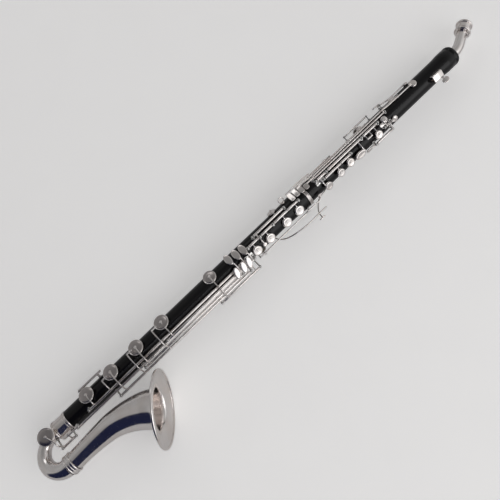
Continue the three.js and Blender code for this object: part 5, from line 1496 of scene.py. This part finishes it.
def trill_rods():
    shape = Shape()
    start = upper_at(TRILL["start"])
    for key in TRILL_KEYS.values():
        stations = [start, upper_at(key["tube"]) + SMALL_BALL_RADIUS + END_GAP]
        shape.rod(trill_line(key), stations, True)
    shape.saddle(start, FOOT_RADIUS * 1.6, TRILL["plate"], UPPER_RADIUS)
    shape.close_up("trill_rods", slot="steel_rods")


def left_stack_rods(back, front):
    shape = Shape()
    back_posts = stations_of(upper_at, LEFT_STACK["back_posts"])
    front_posts = stations_of(upper_at, LEFT_STACK["front_posts"])
    middle = (back_posts[0] + front_posts[0]) / 2
    length = front_posts[0] - back_posts[0] + FOOT_RADIUS * 2
    shape.saddle(middle, length, LEFT_STACK["plate"], UPPER_RADIUS)
    shape.rod(back, back_posts)
    shape.rod(front, front_posts)
    shape.close_up("left_stack_rods", slot="steel_rods")


def rod_piece(node, line, at, key, thin=False):
    shape = Shape()
    shape.rod(line, stations_of(at, key["posts"]), thin)
    shape.close_up(node, slot="steel_rods")


def throat_key(name, key):
    line = hinge_line(key["line"])
    base, up, top = closed_cup(key, upper_at, UPPER_RADIUS)
    shape = Shape()
    key_tube(shape, line, upper_at, key)
    cup_with_pad(shape, name, base, up, key["radius"] * BODY_RADIUS)
    shape.arm([line(upper_at(key["root"])), *spots_along(upper_at, key["arm"]), top])
    touch_arm(shape, line, upper_at, key)
    shape.close_up(name, name)


def thumb_key():
    key = THUMB_KEY
    name = "thumb_key"
    line = hinge_line(key["line"])
    base = plate_base(key, upper_at, UPPER_RADIUS, PLATE_SEAT_HEIGHT)
    up = outward(key["azimuth"])
    shape = Shape()
    key_tube(shape, line, upper_at, key, True)
    cup_with_pad(shape, name, base, up, LEFT_PLATE_RADIUS, PLATE_HEIGHT, profile=PLATE_PROFILE)
    top = base + up * PLATE_HEIGHT * ARM_DEPTH_SHARE
    shape.arm([line(base.x), *spots_at(base.x, key["arm"]), top])
    shape.close_up(name, name)


def register_frame():
    """Way out from the body at the register key, the middle of its hinge, and the hinge's direction."""
    up = outward(REGISTER_KEY["azimuth"])
    reach = REGISTER_KEY["reach"] * BODY_RADIUS
    hinge = polar(upper_at(REGISTER_KEY["hinge"]), REGISTER_KEY["azimuth"], reach)
    return up, hinge, ALONG.cross(up).normalized()


def register_key():
    name = "register_key"
    key = REGISTER_KEY
    up, hinge, across = register_frame()
    half = across * (key["half"] * BODY_RADIUS - SMALL_BALL_RADIUS - END_GAP)
    base, _, top = closed_cup(key, upper_at, UPPER_RADIUS)
    shape = Shape()
    shape.bar(hinge - half, hinge + half, TUBE_RADIUS, 24)
    cup_with_pad(shape, name, base, up, key["radius"] * BODY_RADIUS)
    path = [polar(upper_at(share), key["azimuth"], reach * BODY_RADIUS) for share, reach in key["path"]]
    shape.arm([*path, top])
    shape.disc(path[0] - up * TOUCH_THICKNESS / 2, up, PLATE_RADIUS * 0.4, TOUCH_THICKNESS, stretch=1.15)
    shape.close_up(name, name)


def register_pivot():
    up, hinge, across = register_frame()
    half = REGISTER_KEY["half"] * BODY_RADIUS
    below = up * (REGISTER_KEY["reach"] * BODY_RADIUS - UPPER_RADIUS - FIT_GAP)
    ends = (hinge - across * half, hinge + across * half)
    shape = Shape()
    shape.bar(*ends, ROD_RADIUS)
    for end in ends:
        shape.bar(end - below, end, POST_RADIUS)
        shape.ball(end, SMALL_BALL_RADIUS)
    width = (half + FOOT_RADIUS * 0.6) * 2
    shape.tablet(frame_at(hinge - below, up), FOOT_RADIUS * 2, width, FOOT_HEIGHT, 0.5)
    shape.close_up("register_pivot", slot="steel_rods")


# Settings, operators and panel

def colour_setting(name, description, default):
    return FloatVectorProperty(
        name=name, description=description, default=default, size=3, min=0, max=1, subtype="COLOR",
    )


class HornLooks(bpy.types.PropertyGroup):
    silver: colour_setting("Silver", "Colour of the bright silver plate", (0.9, 0.862, 0.845))
    tarnish: colour_setting("Tarnish", "Warm tint that the silver takes in soft patches", (0.72, 0.62, 0.55))
    # The satin's colour is kept darker than the silver's as painted shade on the cup domes and the guard bar.
    satin: colour_setting("Satin silver", "Colour of the satin cups and the guard bar", (0.5, 0.46, 0.45))
    steel: colour_setting("Steel", "Colour of the rods, posts and screws", (0.7, 0.69, 0.675))
    wood: colour_setting("Wood", "Colour of the blackwood body", (0.004, 0.0036, 0.0042))
    wood_grain: colour_setting("Wood grain", "Brown of the blackwood's grain", (0.018, 0.012, 0.01))
    leather: colour_setting("Pads", "Colour of the leather pads", (0.7, 0.6, 0.45))
    floor: colour_setting("Floor", "Colour of the studio floor", (0.93, 0.92, 0.91))
    polish: FloatProperty(
        name="Silver roughness", description="How soft the silver's reflections are", default=0.13,
        min=0.02, max=0.6, subtype="FACTOR",
    )


class HornStudio(bpy.types.PropertyGroup):
    lamp_power: FloatProperty(
        name="Lamp power", description="Power of the main soft lamp", default=7.5, min=0, unit="POWER",
    )
    floor_size: FloatProperty(
        name="Floor size", description="Width of the studio floor", default=9, min=2, unit="LENGTH",
    )


class HornStep:
    """Shared by the operators, each of which makes one group of the horn's pieces."""

    bl_options = {"REGISTER"}

    def execute(self, context):
        self.make()
        return {"FINISHED"}


class HORN_OT_joints(HornStep, bpy.types.Operator):
    """Turn the two blackwood joints with their tone-hole seats"""

    bl_idname = "horn.joints"
    bl_label = "Blackwood joints"

    def make(self):
        lower_wood()
        upper_wood()


class HORN_OT_rings(HornStep, bpy.types.Operator):
    """Turn the silver ring of the middle joint and the collar above the bow"""

    bl_idname = "horn.rings"
    bl_label = "Rings"

    def make(self):
        joint_ring()
        bell_collar()


class HORN_OT_bell(HornStep, bpy.types.Operator):
    """Form the bow, its ring and the bell"""

    bl_idname = "horn.bell"
    bl_label = "Bow and bell"

    def make(self):
        bell_bow()
        bow_ring()
        bell()


class HORN_OT_neck(HornStep, bpy.types.Operator):
    """Form the bent neck, its eye and the mouthpiece receiver"""

    bl_idname = "horn.neck"
    bl_label = "Neck"

    def make(self):
        neck_tube()
        receiver()


class HORN_OT_fittings(HornStep, bpy.types.Operator):
    """Make the guard bar, the strap ring and the music-clip holder with its thumbscrew"""

    bl_idname = "horn.fittings"
    bl_label = "Fittings"

    def make(self):
        guard_bar()
        strap_ring()
        lyre_socket()
        lyre_screw()


class HORN_OT_low_keys(HornStep, bpy.types.Operator):
    """Make the five low keys, the lever to the bow's key, and their rods"""

    bl_idname = "horn.low_keys"
    bl_label = "Low keys"

    def make(self):
        low_key_rods()
        for name, key in LOW_KEYS.items():
            low_key(name, key)
        low_lever()


class HORN_OT_bow_key(HornStep, bpy.types.Operator):
    """Make the bow's own key and its rod"""

    bl_idname = "horn.bow_key"
    bl_label = "Bow key"

    def make(self):
        rod_piece("bow_key_rod", hinge_line(BOW_KEY["line"]), lower_at, BOW_KEY)
        bow_key()


class HORN_OT_right_hand(HornStep, bpy.types.Operator):
    """Make the right hand's finger plates and its side key"""

    bl_idname = "horn.right_hand"
    bl_label = "Right-hand keys"

    def make(self):
        line = hinge_line(RIGHT_STACK["line"])
        rod_piece("right_stack_rod", line, lower_at, RIGHT_STACK)
        for name, plate in RIGHT_PLATES.items():
            key = RIGHT_STACK | plate
            plate_key(name, line, key, lower_at, BODY_RADIUS, PLATE_SEAT_HEIGHT, PLATE_RADIUS)
        rod_piece("right_side_rod", hinge_line(SIDE_KEY["line"]), lower_at, SIDE_KEY)
        side_key()


class HORN_OT_levers(HornStep, bpy.types.Operator):
    """Make the left little finger's three levers and their rods"""

    bl_idname = "horn.levers"
    bl_label = "Little-finger levers"

    def make(self):
        front = hinge_line(FRONT_LEVER["line"])
        rod_piece("front_lever_rod", front, lower_at, FRONT_LEVER, thin=True)
        lever_key("front_lever", front, FRONT_LEVER, lower_at, BODY_RADIUS, PLATE_RADIUS, PAD_RISE, thin=True)
        rod_piece("long_lever_rod", rest_line, lower_at, LONG_LEVER)
        lever_key("long_lever", rest_line, LONG_LEVER, lower_at, BODY_RADIUS, PLATE_RADIUS, PAD_RISE)
        rod_piece("cross_lever_rod", rest_line, upper_at, CROSS_LEVER)
        lever_key("cross_lever", rest_line, CROSS_LEVER, upper_at, UPPER_RADIUS, CROSS_CUP_RADIUS)


class HORN_OT_trill_keys(HornStep, bpy.types.Operator):
    """Make the four trill keys and their parallel rods"""

    bl_idname = "horn.trill_keys"
    bl_label = "Trill keys"

    def make(self):
        trill_rods()
        for name, key in TRILL_KEYS.items():
            trill_key(name, key)


class HORN_OT_left_hand(HornStep, bpy.types.Operator):
    """Make the left hand's finger plates, the spoon and their rods"""

    bl_idname = "horn.left_hand"
    bl_label = "Left-hand plates"

    def make(self):
        lines = {"back": hinge_line(LEFT_STACK["back"]), "front": hinge_line(LEFT_STACK["front"])}
        left_stack_rods(lines["back"], lines["front"])
        for name, key in LEFT_PLATES.items():
            radius = LEFT_PLATE_RADIUS * key.get("size", 1)
            plate_key(name, lines[key["line"]], key, upper_at, UPPER_RADIUS, LEFT_SEAT_HEIGHT, radius)


class HORN_OT_throat_keys(HornStep, bpy.types.Operator):
    """Make the throat keys, the thumb key and the register key, with their rods"""

    bl_idname = "horn.throat_keys"
    bl_label = "Throat, thumb and register keys"

    def make(self):
        for name, key in THROAT_KEYS.items():
            rod_piece(f"{name}_rod", hinge_line(key["line"]), upper_at, key)
            throat_key(name, key)
        rod_piece("thumb_rod", hinge_line(THUMB_KEY["line"]), upper_at, THUMB_KEY, thin=True)
        thumb_key()
        register_pivot()
        register_key()


class HORN_OT_stage(HornStep, bpy.types.Operator):
    """Set up the camera, the soft lamps, the surroundings and the pale floor"""

    bl_idname = "horn.stage"
    bl_label = "Studio"

    def make(self):
        scene = bpy.context.scene
        scene.view_settings.view_transform = "Standard"
        camera = bpy.data.cameras.new("camera")
        camera.lens = LENS
        camera.sensor_width = SENSOR
        viewer = bpy.data.objects.new("camera", camera)
        scene.collection.objects.link(viewer)
        back = CAMERA_BACK.normalized()
        right = CAMERA_UP.cross(back).normalized()
        axes = Matrix((right, back.cross(right), back)).transposed().to_4x4()
        viewer.matrix_world = Matrix.Translation(CAMERA_PLACE) @ axes
        scene.camera = viewer
        self.lamps(scene)
        self.surroundings(scene)
        self.floor(scene)

    def lamps(self, scene):
        for name, place, size, share in LAMPS:
            lamp = bpy.data.lights.new(name, "AREA")
            lamp.shape = "RECTANGLE"
            lamp.size, lamp.size_y = size
            lamp.energy = scene.horn_studio.lamp_power * share
            holder = bpy.data.objects.new(name, lamp)
            holder.matrix_world = frame_at(Vector(place), Vector(place))
            scene.collection.objects.link(holder)

    def surroundings(self, scene):
        world = bpy.data.worlds.new("soft studio")
        world.use_nodes = True
        scene.world = world
        tree = world.node_tree
        seen = add_node(tree, "ShaderNodeTexCoord").outputs["Generated"]
        side, above, panel = (
            self.facing(tree, seen, direction, stops)
            for direction, stops in (SIDE_LIGHT, OVERHEAD, DARK_PANEL)
        )
        level = add_node(tree, "ShaderNodeMath", {0: side, 1: above}, operation="MULTIPLY")
        colour = mixed(tree, panel, level.outputs["Value"], PANEL_TONE)
        tree.links.new(colour, tree.nodes["Background"].inputs["Color"])

    def facing(self, tree, seen, direction, stops):
        """Brightness of the surroundings, by how far each direction leans to the given one."""
        dot = add_node(tree, "ShaderNodeVectorMath", {0: seen, 1: direction}, operation="DOT_PRODUCT")
        sockets = {"Value": dot.outputs["Value"], "From Min": -1.0, "From Max": 1.0}
        share = add_node(tree, "ShaderNodeMapRange", sockets).outputs["Result"]
        curve = add_node(tree, "ShaderNodeFloatCurve", {"Value": share})
        points = curve.mapping.curves[0].points
        while len(points) < len(stops):
            points.new(0.5, 0.5)
        for point, (place, value) in zip(points, stops):
            point.location = ((place + 1) / 2, value / BRIGHTEST)
            point.handle_type = "VECTOR"
        curve.mapping.update()
        scaled = {0: curve.outputs["Value"], 1: BRIGHTEST}
        return add_node(tree, "ShaderNodeMath", scaled, operation="MULTIPLY").outputs["Value"]

    def floor(self, scene):
        bm = bmesh.new()
        bmesh.ops.create_grid(bm, x_segments=1, y_segments=1, size=scene.horn_studio.floor_size / 2)
        mesh = bpy.data.meshes.new("floor")
        bm.to_mesh(mesh)
        bm.free()
        mesh.materials.append(floor_paper())
        floor = bpy.data.objects.new("floor", mesh)
        scene.collection.objects.link(floor)


OPERATORS = (
    HORN_OT_stage, HORN_OT_joints, HORN_OT_rings, HORN_OT_bell, HORN_OT_neck, HORN_OT_fittings,
    HORN_OT_low_keys, HORN_OT_bow_key, HORN_OT_right_hand, HORN_OT_levers, HORN_OT_trill_keys,
    HORN_OT_left_hand, HORN_OT_throat_keys,
)


class HORN_PT_panel(bpy.types.Panel):
    """Lists the horn's groups of pieces, its looks and its studio"""

    bl_idname = "HORN_PT_panel"
    bl_label = "Basset horn"
    bl_space_type = "VIEW_3D"
    bl_region_type = "UI"
    bl_category = "Basset horn"

    def draw(self, context):
        layout = self.layout
        for settings in (context.scene.horn_looks, context.scene.horn_studio):
            for name in settings.__annotations__:
                layout.prop(settings, name)
        for operator in OPERATORS:
            layout.operator(operator.bl_idname)


CLASSES = (HornLooks, HornStudio, *OPERATORS, HORN_PT_panel)


def register():
    for item in CLASSES:
        bpy.utils.register_class(item)
    bpy.types.Scene.horn_looks = PointerProperty(type=HornLooks)
    bpy.types.Scene.horn_studio = PointerProperty(type=HornStudio)


def unregister():
    del bpy.types.Scene.horn_studio
    del bpy.types.Scene.horn_looks
    for item in reversed(CLASSES):
        bpy.utils.unregister_class(item)


def main():
    register()
    for operator in OPERATORS:
        group, step = operator.bl_idname.split(".")
        getattr(getattr(bpy.ops, group), step)()


if __name__ == "__main__":
    main()
